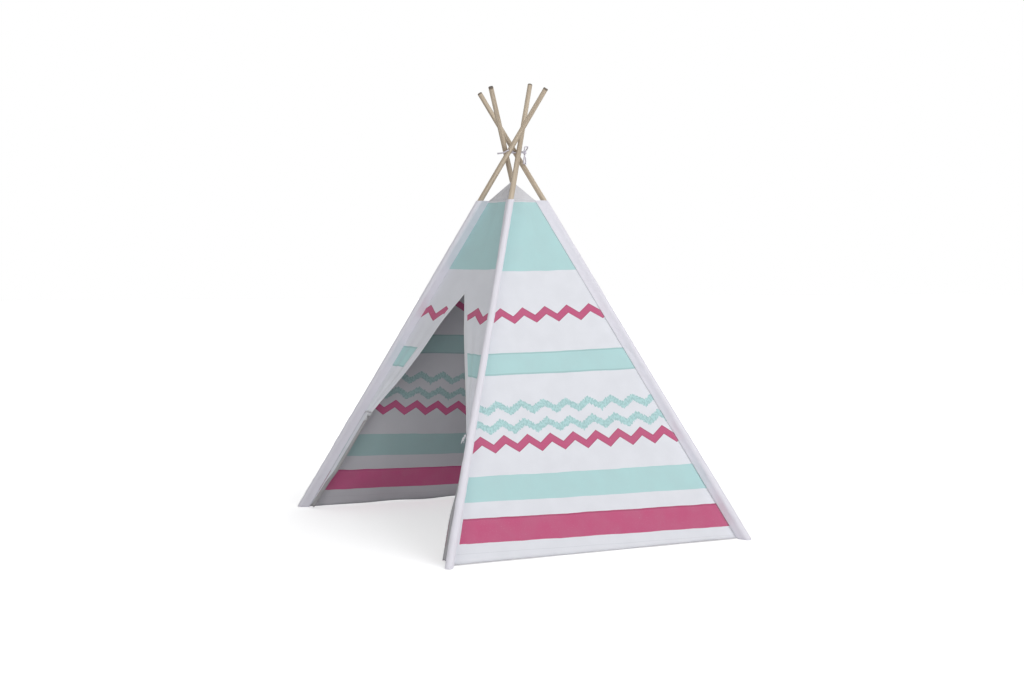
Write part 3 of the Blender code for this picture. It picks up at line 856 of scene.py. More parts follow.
@dataclass
class Poles:
    """The four poles: turned tops in full detail, and the sections and ferrules in the sleeves."""

    stance: Stance
    finishes: Finishes
    sections: int = 3
    gap: float = 0.0006
    sides: int = 48
    end_round: float = 0.0016
    hole_radius: float = 0.0031
    hole_sides: int = 24
    cuts: int = 24
    taper: float = 0.10
    turned_away: float = 0.012
    dark_end: float = 0.006
    dark_end_tone: float = 0.75

    def build(self) -> None:
        """Make the pole tops and dress the CAD sections and ferrules."""
        for pole in self.stance.poles:
            self.top(pole)
            for part in ("lower", "middle"):
                self.dress(f"pole_{pole.name}_{part}", self.finishes.wood_section, Slot.POLE_WOOD)
            for part in ("lower", "upper"):
                self.dress(f"ferrule_{pole.name}_{part}", self.finishes.steel, Slot.FERRULE_STEEL)

    def dress(self, node: str, material: Material, slot: Slot) -> None:
        """Give a CAD node its finish."""
        obj = bpy.data.objects[node]
        obj.data.materials.clear()
        obj.data.materials.append(material)

    def top(self, pole: PoleAxis) -> None:
        """Turn the top section of a pole: rounded ends and a drilled hole for the cord."""
        piece = (self.stance.pole_length - (self.sections - 1) * self.gap) / self.sections
        low = pole.start + (self.sections - 1) * (piece + self.gap)
        high = low + piece
        bpy.ops.object.select_all(action="DESELECT")
        bpy.ops.mesh.primitive_cylinder_add(
            vertices=self.sides,
            radius=self.stance.pole_radius,
            depth=high - low,
            location=pole.at((low + high) / 2),
            rotation=pole.direction.to_track_quat("Z", "Y").to_euler(),
        )
        obj = bpy.context.active_object
        bpy.ops.object.transform_apply(location=True, rotation=True, scale=True)
        bpy.ops.object.mode_set(mode="EDIT")
        bpy.ops.mesh.select_mode(type="EDGE")
        bpy.ops.mesh.select_all(action="DESELECT")
        bpy.ops.object.mode_set(mode="OBJECT")
        for edge in obj.data.edges:
            ends = [obj.data.vertices[k].co for k in edge.vertices]
            edge.select = abs((ends[1] - ends[0]).dot(pole.direction)) < self.gap
        bpy.ops.object.mode_set(mode="EDIT")
        bpy.ops.mesh.bevel(offset=self.end_round, segments=4, profile=0.5)
        bpy.ops.object.mode_set(mode="OBJECT")
        self.drill(obj, pole)
        self.cut_rings(obj, pole, low, high)
        self.map_grain(obj, pole, high)
        body = f"pole_{pole.name}"
        finish_piece(
            obj, f"pole_top_{pole.name}", self.finishes.wood_top, body, Slot.POLE_WOOD, [f"{body}_upper"]
        )

    def drill(self, obj: Piece, pole: PoleAxis) -> None:
        """Drill the hole that the cord goes through."""
        bpy.ops.object.select_all(action="DESELECT")
        bpy.ops.mesh.primitive_cylinder_add(
            vertices=self.hole_sides,
            radius=self.hole_radius,
            depth=4 * self.stance.pole_radius,
            location=pole.crossing,
            rotation=pole.tangent.to_track_quat("Z", "Y").to_euler(),
        )
        bit = bpy.context.active_object
        apply_modifier(obj, "BOOLEAN", object=bit, operation="DIFFERENCE", solver="EXACT")
        bpy.data.objects.remove(bit, do_unlink=True)

    def cut_rings(self, obj: Piece, pole: PoleAxis, low: float, high: float) -> None:
        """Cut rings across the section, then taper it and thin it a little unevenly, as turned wood is."""
        select_only(obj)
        bpy.ops.object.mode_set(mode="EDIT")
        stops = [low + (high - low) * number / self.cuts for number in range(1, self.cuts)]
        stops.append(high - self.dark_end)
        for stop in stops:
            place = pole.at(stop)
            if (place - pole.crossing).length < 3 * self.hole_radius:
                continue
            bpy.ops.mesh.select_all(action="SELECT")
            bpy.ops.mesh.bisect(plane_co=place, plane_no=pole.direction)
        bpy.ops.object.mode_set(mode="OBJECT")
        for vertex in obj.data.vertices:
            distance = (vertex.co - pole.foot).dot(pole.direction)
            away = vertex.co - pole.at(distance)
            thinner = self.taper * smooth(distance, low + 0.2 * (high - low), high)
            uneven = self.turned_away * ripple(pole.at(distance), 7.0, 3.0)
            vertex.co -= away * (thinner + self.turned_away + uneven)
        obj.data.shade_smooth()
        obj.data.set_sharp_from_angle(angle=math.radians(40))

    def map_grain(self, obj: Piece, pole: PoleAxis, high: float) -> None:
        """Lay the grain map along the pole, and mark the end faces, the darker tips and the hole's wall,
        which takes painted shade.
        """
        mesh = obj.data
        while mesh.uv_layers:
            mesh.uv_layers.remove(mesh.uv_layers[0])
        grain = mesh.uv_layers.new(name="wood")
        edge = mesh.uv_layers.new(name="edge")
        for face in mesh.polygons:
            end_face = abs(face.normal.dot(pole.direction)) > 0.7
            along = (face.center - pole.foot).dot(pole.direction)
            near_hole = (face.center - pole.crossing).length < 0.95 * self.stance.pole_radius
            in_hole = near_hole and (face.center - pole.at(along)).length < 0.85 * self.stance.pole_radius
            at_tip = along > high - self.dark_end
            for index in face.loop_indices:
                point = mesh.vertices[mesh.loops[index].vertex_index].co
                distance = (point - pole.foot).dot(pole.direction)
                away = point - pole.at(distance)
                angle = math.atan2(away.dot(pole.tangent), away.dot(pole.outward))
                if end_face:
                    grain.data[index].uv = (away.dot(pole.outward), away.dot(pole.tangent))
                else:
                    grain.data[index].uv = (self.stance.pole_radius * abs(angle), distance)
                # end faces and tips darker; the hole's wall gets painted shade
                darker = self.dark_end_tone if at_tip else 0.0
                edge.data[index].uv = (1.0 if end_face or in_hole else darker, 0.0)


def smooth_route(points: Sequence[Vector], steps: int) -> Ring:
    """Return points on a curve through the route's own points."""
    route = []
    padded = [2 * points[0] - points[1], *points, 2 * points[-1] - points[-2]]
    for k in range(len(points) - 1):
        before, start, end, after = padded[k : k + 4]
        for step in range(steps):
            t = step / steps
            route.append(
                0.5 * (2 * start + (end - before) * t
                       + (2 * before - 5 * start + 4 * end - after) * t * t
                       + (3 * start - before - 3 * end + after) * t * t * t)
            )
    route.append(points[-1])
    return route


def resample(route: Sequence[Vector], pitch: float) -> Ring:
    """Return points at an even pitch along a route."""
    made = [route[0].copy()]
    carried = 0.0
    for start, end in zip(route, route[1:]):
        length = (end - start).length
        place = pitch - carried
        while place <= length:
            made.append(start.lerp(end, place / length))
            place += pitch
        carried = length - (place - pitch)
    return made


@dataclass
class Lashing:
    """The cord through the four pole holes, and the overhand knot that ties it."""

    stance: Stance
    finishes: Finishes
    straight: float = 0.006
    swing_out: float = 0.016
    sag: float = 0.006
    knot_standoff: float = 0.0125
    strand_gap: float = 0.0006
    tail_drop: float = 0.034
    tail_spread: float = 0.010
    lay: float = 0.013
    strand_share: float = 0.54
    strand_sides: int = 7
    step: float = 0.0011
    knot_opening: float = 0.16
    knot_steps: int = 96
    fray: float = 1.1
    fray_length: float = 0.008
    tip_length: float = 0.003

    def build(self) -> None:
        """Make the cord and its knot."""
        for name, route, loose_ends, node in (
            ("lashing_rope", self.cord_route(), False, "lashing_cord"),
            ("lashing_rope_knot", self.knot_route(), True, "lashing_knot"),
        ):
            obj = self.twisted(name, route, loose_ends)
            finish_piece(obj, name, self.finishes.cord, Body.LASHING.value, Slot.COTTON_CORD, [node])

    def cord_route(self) -> Ring:
        """Return the line of the cord from hole to hole."""
        stance = self.stance
        left, front, right, back = (pole.tangent for pole in stance.poles)
        width = 2 * stance.cord_radius
        low = stance.crossing - stance.cord_layer
        high = stance.crossing + stance.cord_layer
        face = stance.pole_offset + stance.pole_radius
        inside = stance.pole_offset - stance.pole_radius
        out = face + self.straight
        swing = face + self.swing_out
        sag = stance.crossing - self.sag
        reach = face + self.knot_standoff
        top = low + width + stance.cord_radius + 2 * self.strand_gap
        stops = (
            (front, reach - width, low), (front, face, low), (front, inside, low), (front, width, low),
            (back, width, low), (back, inside, low), (back, face, low), (back, out, low),
            (3 * back + left, swing, sag),
            (back + left, swing + stance.cord_radius, sag),
            (back + 3 * left, swing, sag),
            (left, out, high), (left, face, high), (left, inside, high), (left, width, high),
            (right, width, high), (right, inside, high), (right, face, high), (right, out, high),
            (3 * right + front, swing, high),
            (right + front, swing + width, high + width),
            (right + 3 * front, swing + width, high + 3 * width),
            (front, reach, top + 2 * width), (front, reach, top),
        )
        return smooth_route([way.normalized() * far + height * UP for way, far, height in stops], 8)

    def knot_route(self) -> Ring:
        """Return the line of the overhand knot and its two tails."""
        pole = self.stance.poles[1]
        scale = self.stance.cord_radius + self.strand_gap / 2
        face = self.stance.pole_offset + self.stance.pole_radius
        low = self.stance.crossing - self.stance.cord_layer
        centre = pole.tangent * (face + self.knot_standoff) + low * UP
        opening = self.knot_opening
        loop = []
        for k in range(self.knot_steps + 1):
            u = opening + (2 * math.pi - 2 * opening) * k / self.knot_steps
            size = (2 + math.cos(3 * u)) * scale
            place = centre - size * math.cos(2 * u) * UP + size * math.sin(2 * u) * pole.radial
            loop.append(place + math.sin(3 * u) * scale * pole.tangent)
        ends = []
        for start, near in ((loop[0], loop[1]), (loop[-1], loop[-2])):
            push = (start - near).normalized()
            spread = self.tail_spread * (pole.radial if push.dot(pole.radial) > 0 else -pole.radial)
            stops = (
                start,
                start + 2 * self.stance.cord_radius * push,
                start + spread - self.tail_drop / 2 * UP,
                start + spread - self.tail_drop * UP,
            )
            ends.append(smooth_route(stops, 6)[1:])
        return list(reversed(ends[0])) + loop + ends[1]

    def twisted(self, name: str, line: Ring, loose_ends: bool) -> Piece:
        """Twist three strands along a line.

        Args:
            name: the object's name.
            line: the cord's centre line.
            loose_ends: whether the strands fray apart at the two ends.

        Returns:
            One mesh of three closed strands.
        """
        route = resample(line, self.step)
        strand = self.strand_share * self.stance.cord_radius
        offset = self.stance.cord_radius - strand
        across = (route[1] - route[0]).orthogonal().normalized()
        rings: list[list[Ring]] = [[], [], []]
        for k, point in enumerate(route):
            ahead = (route[min(k + 1, len(route) - 1)] - route[max(k - 1, 0)]).normalized()
            across = (across - across.dot(ahead) * ahead).normalized()
            beside = ahead.cross(across)
            end = min(k, len(route) - 1 - k) * self.step
            open_up = 1 + (self.fray * (1 - smooth(end, 0.0, self.fray_length)) if loose_ends else 0.0)
            for number, made in enumerate(rings):
                angle = 2 * math.pi * (k * self.step / self.lay + number / 3)
                centre = point + open_up * offset * (math.cos(angle) * across + math.sin(angle) * beside)
                radius = strand * (1 - 0.35 * (1 - smooth(end, 0.0, self.tip_length)))
                sides = (2 * math.pi * side / self.strand_sides for side in range(self.strand_sides))
                made.append([
                    centre + radius * (math.cos(turn) * across + math.sin(turn) * beside) for turn in sides
                ])
        return join_parts([skin(f"{name}_{number}", made) for number, made in enumerate(rings)])


@dataclass
class Sleeves:
    """The sewn sleeves round the poles, drawn out to the corner seams of the cover."""

    stance: Stance
    finishes: Finishes
    radius: float = 0.0117
    foot_radius: float = 0.0137
    full_below: tuple[float, float] = (0.25, 0.60)
    seam_half: float = 0.0021
    seam_gap: float = 0.0002
    hem: float = 0.013
    hem_step: float = 0.0005
    foot_height: float = 0.003
    foot_slices: Rows = ((0.0, 0.80), (0.0012, 0.94))
    mouth_slices: Rows = ((0.0003, 0.93), (-0.002, 0.86), (-0.018, 0.83))
    pucker: float = 0.0012
    wave: float = 0.0006
    rows: int = 168
    arc_points: int = 30
    tail_points: int = 7

    def build(self) -> None:
        """Make one sleeve for each pole."""
        for index, pole in enumerate(self.stance.poles):
            obj = skin(pole.name, self.rings(index))
            finish_piece(
                obj,
                f"pole_sleeve_{pole.name}",
                self.finishes.sleeve,
                f"pole_{pole.name}",
                Slot.SLEEVE_COTTON,
                [f"sleeve_{pole.name}"],
            )

    def rings(self, index: int) -> list[Ring]:
        """Return the slices of a sleeve from its closed foot to its mouth, and back inside."""
        low = self.foot_height
        top = self.stance.sleeve_top
        slices = [*self.foot_slices]
        slices += [(low + (top - low) * k / self.rows, 1.0) for k in range(1, self.rows + 1)]
        slices += [(top + above, share) for above, share in self.mouth_slices]
        return [self.ring(index, height, share) for height, share in slices]

    def ring(self, index: int, height: float, share: float) -> Ring:
        """Return a level slice of a sleeve.

        Args:
            index: the corner's number.
            height: the slice's height.
            share: how full the slice is, 1 on the outside of the cloth.

        Returns:
            The slice's points, from one side of the seam round the pole to the other.
        """
        pole = self.stance.poles[index]
        centre = pole.at_height(height)
        seam = self.stance.corner(index, height) - centre
        seam -= seam.dot(pole.direction) * pole.direction
        ahead = seam.normalized()
        beside = pole.direction.cross(ahead)
        hem_start = self.stance.sleeve_top - self.hem
        in_hem = smooth(height, hem_start - self.hem_step, hem_start)
        slack = 1 - smooth(height, *self.full_below)
        radius = (self.radius + (self.foot_radius - self.radius) * slack + self.hem_step * in_hem) * share
        reach = seam.length - self.seam_gap
        start = math.acos((radius - self.seam_half) / reach)
        soft = smooth(height, 0.0, 0.05) * (1 - in_hem)
        points = []
        for k in range(self.arc_points):
            angle = start + (2 * math.pi - 2 * start) * k / (self.arc_points - 1)
            way = math.cos(angle) * ahead + math.sin(angle) * beside
            place = centre + radius * way
            drawn_out = Vector((place.x, place.y, 0.35 * height))
            fold = (0.0005 + self.wave * slack) * ripple(drawn_out, 55.0, index)
            fold += 0.0004 * ripple(place, 120.0, index + 9.0)
            points.append(place + soft * fold * way)
        end = centre + reach * ahead
        first, last = points[0], points[-1]
        count = self.tail_points
        outward = [(last, -1, (k + 1) / count) for k in range(count)]
        homeward = [(first, 1, 1 - k / count) for k in range(count)]
        for root, side, t in outward + homeward:
            drawn = -self.pucker * math.sin(math.pi * t) * soft
            wave = self.wave * soft * ripple(Vector((t, 0, 9 * height)), 3.0, index + 2.0)
            tip = end + side * self.seam_half * beside
            points.append(root.lerp(tip, t) + (side * drawn + wave) * beside)
        return [point + pole.direction * (height - point.z) / pole.direction.z for point in points]


@dataclass
class Cover:
    """The three full printed panels and the four plain gores that close the cover to its peak."""

    stance: Stance
    finishes: Finishes
    thickness: float = 0.0010
    hem_thickness: float = 0.0021
    hem: float = 0.018
    sag: float = 0.007
    drape: float = 0.0030
    hem_wave: float = 0.0026
    hem_wave_height: float = 0.10
    pull: float = 0.0016
    pull_reach: float = 0.30
    pucker: float = 0.0007
    pucker_reach: float = 0.022
    pucker_pitch: float = 0.0062
    unevenness: float = 0.0010
    front_margin: float = 0.015
    front_margin_to: tuple[float, float] = (0.13, 0.24)
    seam_hidden: float = 0.0190
    least_plain: float = 0.0130
    keep_right: float = 0.18
    keep: float = 0.20
    keep_gore: float = 0.22
    columns: int = 84
    rows: int = 104
    gore_columns: int = 24
    gore_rows: int = 14
    gore_tip: float = 0.0030
    gore_gather: float = 0.0016
    gore_belly: float = 0.0030
    gore_peak_in: float = 0.0035

    def build(self) -> None:
        """Make each full panel and every gore."""
        for body, first, second in PANELS:
            plane = PanelPlane(self.stance, first, second)
            if body is not Body.DOOR_PANEL:
                self.panel(body, plane)
            self.gore(body, plane)

    def offset(self, plane: PanelPlane, share: float, height: float) -> float:
        """Return how far the stretched cloth stands off its plane: it sags in and pulls in soft folds."""
        t = height / self.stance.sleeve_top
        wide = plane.width(height)
        middle = math.sin(math.pi * share)
        seed = 5.0 * plane.first + 1.0
        flat = Vector((share * wide, height, 0))
        sag = -self.sag * middle * math.sin(math.pi * min(1.0, 0.08 + 0.92 * t)) ** 0.8
        drape = self.drape * middle * ripple(Vector((3.0 * (share - 0.5), 0.8 * height, 0)), 1.6, seed)
        near_hem = math.exp(-height / self.hem_wave_height)
        hem = self.hem_wave * middle * near_hem * math.sin(2 * math.pi * (4.3 * share + 0.2 * seed))
        pull = 0.0
        for corner_share, way in ((0.0, 1.0), (1.0, -1.0)):
            aside = way * (share - corner_share) * wide
            far = math.hypot(aside, height)
            angle = math.atan2(height, max(aside, 1e-6))
            strength = self.pull * math.exp(-far / self.pull_reach) * smooth(far, 0.0, 0.05)
            pull += strength * math.sin(13 * angle + seed)
        edge = min(share, 1 - share) * wide
        pucker = self.pucker * math.exp(-edge / self.pucker_reach) * smooth(edge, 0.0, 0.006)
        pucker *= math.sin(height / self.pucker_pitch + seed)
        fine = self.unevenness * middle * ripple(flat, 9.0, seed + 4.0)
        return (sag + drape + hem + fine) * smooth(edge, 0.0, 0.05) + pull * smooth(edge, 0.0, 0.02) + pucker

    def panel(self, body: Body, plane: PanelPlane) -> None:
        """Make one full panel."""
        low = self.stance.hem_lift
        high = self.stance.sleeve_top

        def place(across: float, up: float) -> Vector:
            """Return where a point of the cloth lies."""
            height = low + (high - low) * up
            return plane.point(across, height) + self.offset(plane, across, height) * plane.normal

        def print_at(across: float, up: float) -> tuple[float, float]:
            """Return the print's coordinates."""
            height = low + (high - low) * up
            return PRINTS[body].at((across - 0.5) * plane.width(height), height)

        def edge_at(across: float, up: float) -> tuple[float, float]:
            """Return how far past its plain front edge the print is, and the distance from the seams."""
            height = low + (high - low) * up
            wide = plane.width(height)
            near_floor = 1 - smooth(height, *self.front_margin_to)
            margin = self.front_margin * near_floor if body is Body.RIGHT_PANEL else 0.0
            past_edge = max(self.least_plain, self.seam_hidden + across * wide - margin)
            return past_edge, min(across, 1 - across) * wide

        obj = grid_sheet(self.columns, self.rows, place, print_at, edge_at)
        thicken(obj, self.thickness, self.hem_thickness, self.hem)
        name = f"{body.value}_canvas"
        finish_piece(obj, name, self.finishes.printed, body.value, Slot.PRINTED_CANVAS, [body.value])
        wide = plane.width(0)
        long = (plane.centre(high) - plane.centre(low)).length
        area = (wide + plane.width(high)) / 2 * long
        self.fold(obj, plane, self.keep_right if body is Body.RIGHT_PANEL else self.keep)

    def fold(self, obj: Piece, plane: PanelPlane, keep: float) -> None:
        """Give a sheet its own copy of its mesh."""
        tuple(plane.along)
        tuple(plane.centre(0))
        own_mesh(obj)

    def gore(self, body: Body, plane: PanelPlane) -> None:
        """Make the plain gore above a panel, gathered a little towards the peak."""
        low = self.stance.sleeve_top
        middle = plane.centre(low)
        inward = Vector((-middle.x, -middle.y, 0)).normalized()
        peak = self.stance.peak * UP - self.gore_peak_in * inward

        def place(across: float, up: float) -> Vector:
            """Return where a point of the gore lies."""
            base = plane.point(across, low)
            tip = peak + (across - 0.5) * self.gore_tip * plane.along
            point = base.lerp(tip, up)
            gather = self.gore_gather * math.sin(2 * math.pi * 3.5 * across + plane.first)
            gather *= math.sin(math.pi * up) ** 0.7
            belly = self.gore_belly * math.sin(math.pi * across) * math.sin(math.pi * up)
            return point - (gather * math.sin(math.pi * across) - belly) * inward

        def print_at(across: float, up: float) -> tuple[float, float]:
            """Return the cloth's own coordinates."""
            return across * 0.1, low + up * 0.09

        obj = grid_sheet(self.gore_columns, self.gore_rows, place, print_at, lambda across, up: (1.0, 1.0))
        thicken(obj, self.thickness, self.hem_thickness)
        name = f"{body.value}_peak"
        finish_piece(obj, name, self.finishes.plain, body.value, Slot.PLAIN_CANVAS, [f"{body.value}_gore"])
        wide = plane.width(low)
        self.fold(obj, plane, self.keep_gore)


@dataclass
class Door:
    """The slit door: cloth above the slit, leaves drawn back to the ties, gathered flaps and ribbons."""

    stance: Stance
    finishes: Finishes
    cover: Cover
    columns: int = 40
    rows_above: int = 34
    rows_below: int = 56
    turned_columns: int = 26
    facing_left: Rows = ((0.0, 0.014), (0.09, 0.018), (0.16, 0.034))
    facing_right: Rows = ((0.0, 0.034), (0.11, 0.034), (0.25, 0.010), (0.32, 0.006))
    facing_share: float = 0.045
    necks: tuple[float, float] = (0.056, 0.030)
    neck_width: float = 0.020
    hem_width: float = 0.026
    neck_depth: float = 0.012
    hem_depth: float = 0.015
    clearance: float = 0.0033
    slack: tuple[float, float] = (0.023, 0.0)
    slit_lean: float = 0.73
    leaf_folds: float = 0.0042
    leaf_pull: float = 0.0035
    turn_back: float = 0.42
    turned_depth: float = 0.0062
    plain_edge: float = 0.015
    print_edge: float = 0.0178
    flap_lift: float = 0.006
    flap_thickness: float = 0.0006
    flap_hem_thickness: float = 0.0007
    flap_columns: int = 380
    flap_rows: int = 44
    flap_inset: float = 0.0010
    flap_print_wide: float = 0.50
    flap_print_from: float = 0.54
    flap_printed: tuple[float, float] = (0.45, 0.54)
    pleats: int = 19
    ribbon_width: float = 0.010
    ribbon_thickness: float = 0.0012
    band_slices: int = 48
    knot_slices: int = 24
    knot_sides: int = 20
    tail_slices: int = 30
    tail_length: float = 0.024
    tail_width: float = 0.006

    def __post_init__(self) -> None:
        """Take the plane that the door lies in."""
        self.plane = PanelPlane(self.stance, 0, 1)

    def build(self) -> None:
        """Make the door's cloth and its ties."""
        self.canvas()
        ties = (("left", 0, self.stance.tie_left, 1), ("right", 1, self.stance.tie_right, -1))
        for side, which, tie, way in ties:
            self.flap(side, which, tie, way)
            self.tie(side, which, tie)

    def canvas(self) -> None:
        """Make the door's upper cloth in one piece, with both leaves turned back along their slit edges."""
        parts = []
        for which, tie in ((0, self.stance.tie_left), (1, self.stance.tie_right)):
            parts.append(self.half_above(which))
            parts.append(self.leaf(which, tie, False))
            parts.append(self.leaf(which, tie, True))
        obj = join_parts(parts, 0.0001)
        select_only(obj)
        bpy.ops.object.mode_set(mode="EDIT")
        bpy.ops.mesh.select_all(action="SELECT")
        bpy.ops.mesh.normals_make_consistent(inside=False)
        bpy.ops.object.mode_set(mode="OBJECT")
        thicken(obj, self.cover.thickness, self.cover.hem_thickness)
        nodes = ["door_panel", "door_leaf_left", "door_leaf_right"]
        finish_piece(obj, "door_canvas", self.finishes.printed, "door_panel", Slot.PRINTED_CANVAS, nodes)
        self.cover.fold(obj, self.plane, self.cover.keep)

    def half_above(self, which: int) -> Piece:
        """Make one half of the cloth above the slit."""
        low = self.stance.slit_apex
        high = self.stance.sleeve_top

        def share_at(across: float) -> float:
            """Return the share of the panel's width, from the first seam."""
            return across / 2 if which == 0 else 0.5 + across / 2

        def place(across: float, up: float) -> Vector:
            """Return where a point of the cloth lies."""
            height = low + (high - low) * up
            share = share_at(across)
            off = self.cover.offset(self.plane, share, height)
            return self.plane.point(share, height) + off * self.plane.normal

        def print_at(across: float, up: float) -> tuple[float, float]:
            """Return the print's coordinates."""
            height = low + (high - low) * up
            return PRINTS[Body.DOOR_PANEL].at((share_at(across) - 0.5) * self.plane.width(height), height)

        def edge_at(across: float, up: float) -> tuple[float, float]:
            """Return the distances from the slit's top and from the seam."""
            height = low + (high - low) * up
            aside = abs(share_at(across) - 0.5) * self.plane.width(height)
            seam = self.plane.width(height) / 2 - aside
            return math.hypot(aside, max(0.0, height - low)), seam

        return grid_sheet(self.columns, self.rows_above, place, print_at, edge_at)

    def leaf(self, which: int, tie: float, turned: bool) -> Piece:
        """Make one layer of a door leaf.

        Args:
            which: the corner that the leaf is tied to.
            tie: the tie's height.
            turned: whether this is the layer turned back inside, and not the outer one.

        Returns:
            The layer, whose slit edge both layers share.
        """
        top = self.stance.slit_apex
        half = self.plane.width(top) / 2
        first = which == 0

        def bulge(down: float) -> float:
            """Return how far the slack slit edge hangs past a straight line."""
            return self.slack[which] * smooth(down, 0.15, 0.52) * (1 - smooth(down, 0.62, 1.0))

        def edges(up: float) -> tuple[float, float, float]:
            """Return the height, the outer layer's width and how far down the leaf it is."""
            down = 1 - up
            height = top + (tie - top) * down
            return height, half + (self.necks[which] - half) * down + bulge(down), down

        def outer_offset(share: float, height: float, down: float) -> float:
            """Return how far the outer layer stands off the plane, share 1 at the slit edge."""
            wide = self.plane.width(height)
            reach = share * (half + (self.necks[which] - half) * down)
            panel_share = reach / wide if first else 1 - reach / wide
            still = self.cover.offset(self.plane, panel_share, height) * (1 - smooth(down, 0.0, 0.35))
            folds = self.leaf_folds * smooth(down, 0.0, 0.8)
            folds *= math.sin(2 * math.pi * (2.6 * share - 0.1 * which) + 1.2)
            pulled = self.leaf_pull * smooth(down, 0.15, 1.0) * math.sin(math.pi * share)
            return still + (folds * math.sin(math.pi * share) ** 0.6 + pulled)

        def place(across: float, up: float) -> Vector:
            """Return where a point of the layer lies."""
            height, wide, down = edges(up)
            share = across if first else 1 - across
            if not turned:
                spot = self.plane.from_seam(which, share * wide, height)
                return spot + outer_offset(share, height, down) * self.plane.normal
            back = 1 - share
            reach = min(self.turn_back * down, 0.90 * wide)
            spot = self.plane.from_seam(which, wide - back * reach, height)
            aside = back * reach
            depth = self.turned_depth * (1 - math.exp(-aside / 0.027))
            deep = 0.0016 * smooth(down, 0.04, 0.55) * smooth(aside, 0.010, 0.060)
            waves = deep * math.sin(2 * math.pi * (3.6 * back + 0.35 * math.sin(4 * down + which)) + 1.0)
            under = min(outer_offset(1 - aside / wide, height, down), outer_offset(1.0, height, down))
            return spot + (under - depth - waves) * self.plane.normal

        def print_at(across: float, up: float) -> tuple[float, float]:
            """Return the print's coordinates."""
            height, wide, down = edges(up)
            share = across if first else 1 - across
            back = (1 - share) * self.turn_back * down if turned else 0.0
            inset = (wide if turned else wide * share) + back
            aside = self.plane.width(height) / 2 - inset
            return PRINTS[Body.DOOR_PANEL].at(-aside if first else aside, height - 0.25 * back)

        def edge_at(across: float, up: float) -> tuple[float, float]:
            """Return the distances from the slit edge and from the seam."""
            _, wide, down = edges(up)
            share = across if first else 1 - across
            if turned:
                return 0.02 + (1 - share) * self.turn_back * down, 1.0
            lean = math.cos(self.slit_lean)
            from_slit = (1 - share) * wide * lean
            if from_slit > self.plain_edge:
                from_slit = max(self.plain_edge, from_slit - bulge(down) * lean)
            printed = max(0.0, from_slit - self.print_edge) * (1 - smooth(down, 0.60, 0.72))
            return min(from_slit, self.print_edge) + printed, share * wide

        columns = self.turned_columns if turned else self.columns
        return grid_sheet(columns, self.rows_below, place, print_at, edge_at)

    def facing(self, which: int, height: float) -> float:
        """Return how far from the seam the gathered cloth starts."""
        rows = self.facing_right if which else self.facing_left
        for low, high in zip(rows, rows[1:]):
            if height < high[0]:
                return low[1] + (high[1] - low[1]) * smooth(height, low[0], high[0])
        return rows[-1][1]

    def slice_frame(self, which: int, height: float, down: float) -> Slice:
        """Return a flap slice's centre, its two directions, and its half width and half depth."""
        wide = self.neck_width + (self.hem_width - self.neck_width) * down
        deep = self.neck_depth + (self.hem_depth - self.neck_depth) * down
        start = self.plane.from_seam(which, self.facing(which, height), height)
        end = self.plane.from_seam(which, self.facing(which, height) + wide, height)
        ahead = (end - start).normalized()
        return (start + end) / 2, ahead, UP.cross(ahead), wide / 2, deep / 2

    def flap(self, side: str, which: int, tie: float, way: int) -> None:
        """Make the gathered cloth that hangs below a tie, pleated like a drawn curtain."""
        low = self.flap_lift

        def part_of(across: float) -> tuple[bool, float]:
            """Return whether a point is on the flat facing beside the sleeve, and its share of that part."""
            q = across if way > 0 else 1 - across
            if q < self.facing_share:
                return True, q / self.facing_share
            return False, (q - self.facing_share) / (1 - self.facing_share)

        def place(across: float, up: float) -> Vector:
            """Return where a point of the flat facing or of the gathered cloth lies."""
            down = 1 - up
            height = low + (tie - low) * up
            flat, q = part_of(across)
            if flat:
                reach = self.clearance + (self.facing(which, height) - self.clearance) * q
                spot = self.plane.from_seam(which, reach, height)
                wave = 0.0012 * math.sin(math.pi * q) * math.sin(17 * height + which)
                return spot + wave * self.plane.normal
            centre, ahead, beside, half_wide, half_deep = self.slice_frame(which, height, down)
            fullness = math.sqrt(max(0.0, 1 - (1.9 * q - 0.95) ** 2))
            turn = 2 * math.pi * self.pleats * q + 0.5 * q * math.sin(3.0 * height + 5 * q)
            swell = 1 + 0.16 * ripple(Vector((3 * q, 2 * height, 0)), 2.0, 3.0 * which)
            along = (2 * q - 1) * (half_wide - self.flap_inset)
            along += 0.20 * half_wide * math.sin(2 * turn) * fullness / self.pleats
            depth = (half_deep - self.flap_inset) * fullness * math.sin(turn) * min(1.0, 0.92 * swell)
            lift = 0.006 * down * down * math.sin(math.pi * q) * (1 - up)
            return centre + along * ahead + depth * beside + lift * UP

        def print_at(across: float, up: float) -> tuple[float, float]:
            """Return the print's coordinates on the gathered cloth."""
            return way * (across * self.flap_print_wide - self.flap_print_from), low + (tie - low) * up

        def edge_at(across: float, up: float) -> tuple[float, float]:
            """Return the distances from the slit edge and from the seam, where only the middle is printed;
            the seam value falls below 0 on the gathered cloth, which marks it for painted shade.
            """
            flat, q = part_of(across)
            if flat:
                return self.plain_edge / 2, 1.0
            shows = self.flap_printed[0] < q < self.flap_printed[1]
            return (0.5 if shows else self.plain_edge), -smooth(q, 0.0, 0.06)

        obj = grid_sheet(self.flap_columns, self.flap_rows, place, print_at, edge_at)
        thicken(obj, self.flap_thickness, self.flap_hem_thickness)
        name = f"door_flap_cloth_{side}"
        body = f"door_flap_{side}"
        finish_piece(obj, name, self.finishes.printed, body, Slot.PRINTED_CANVAS, [body])

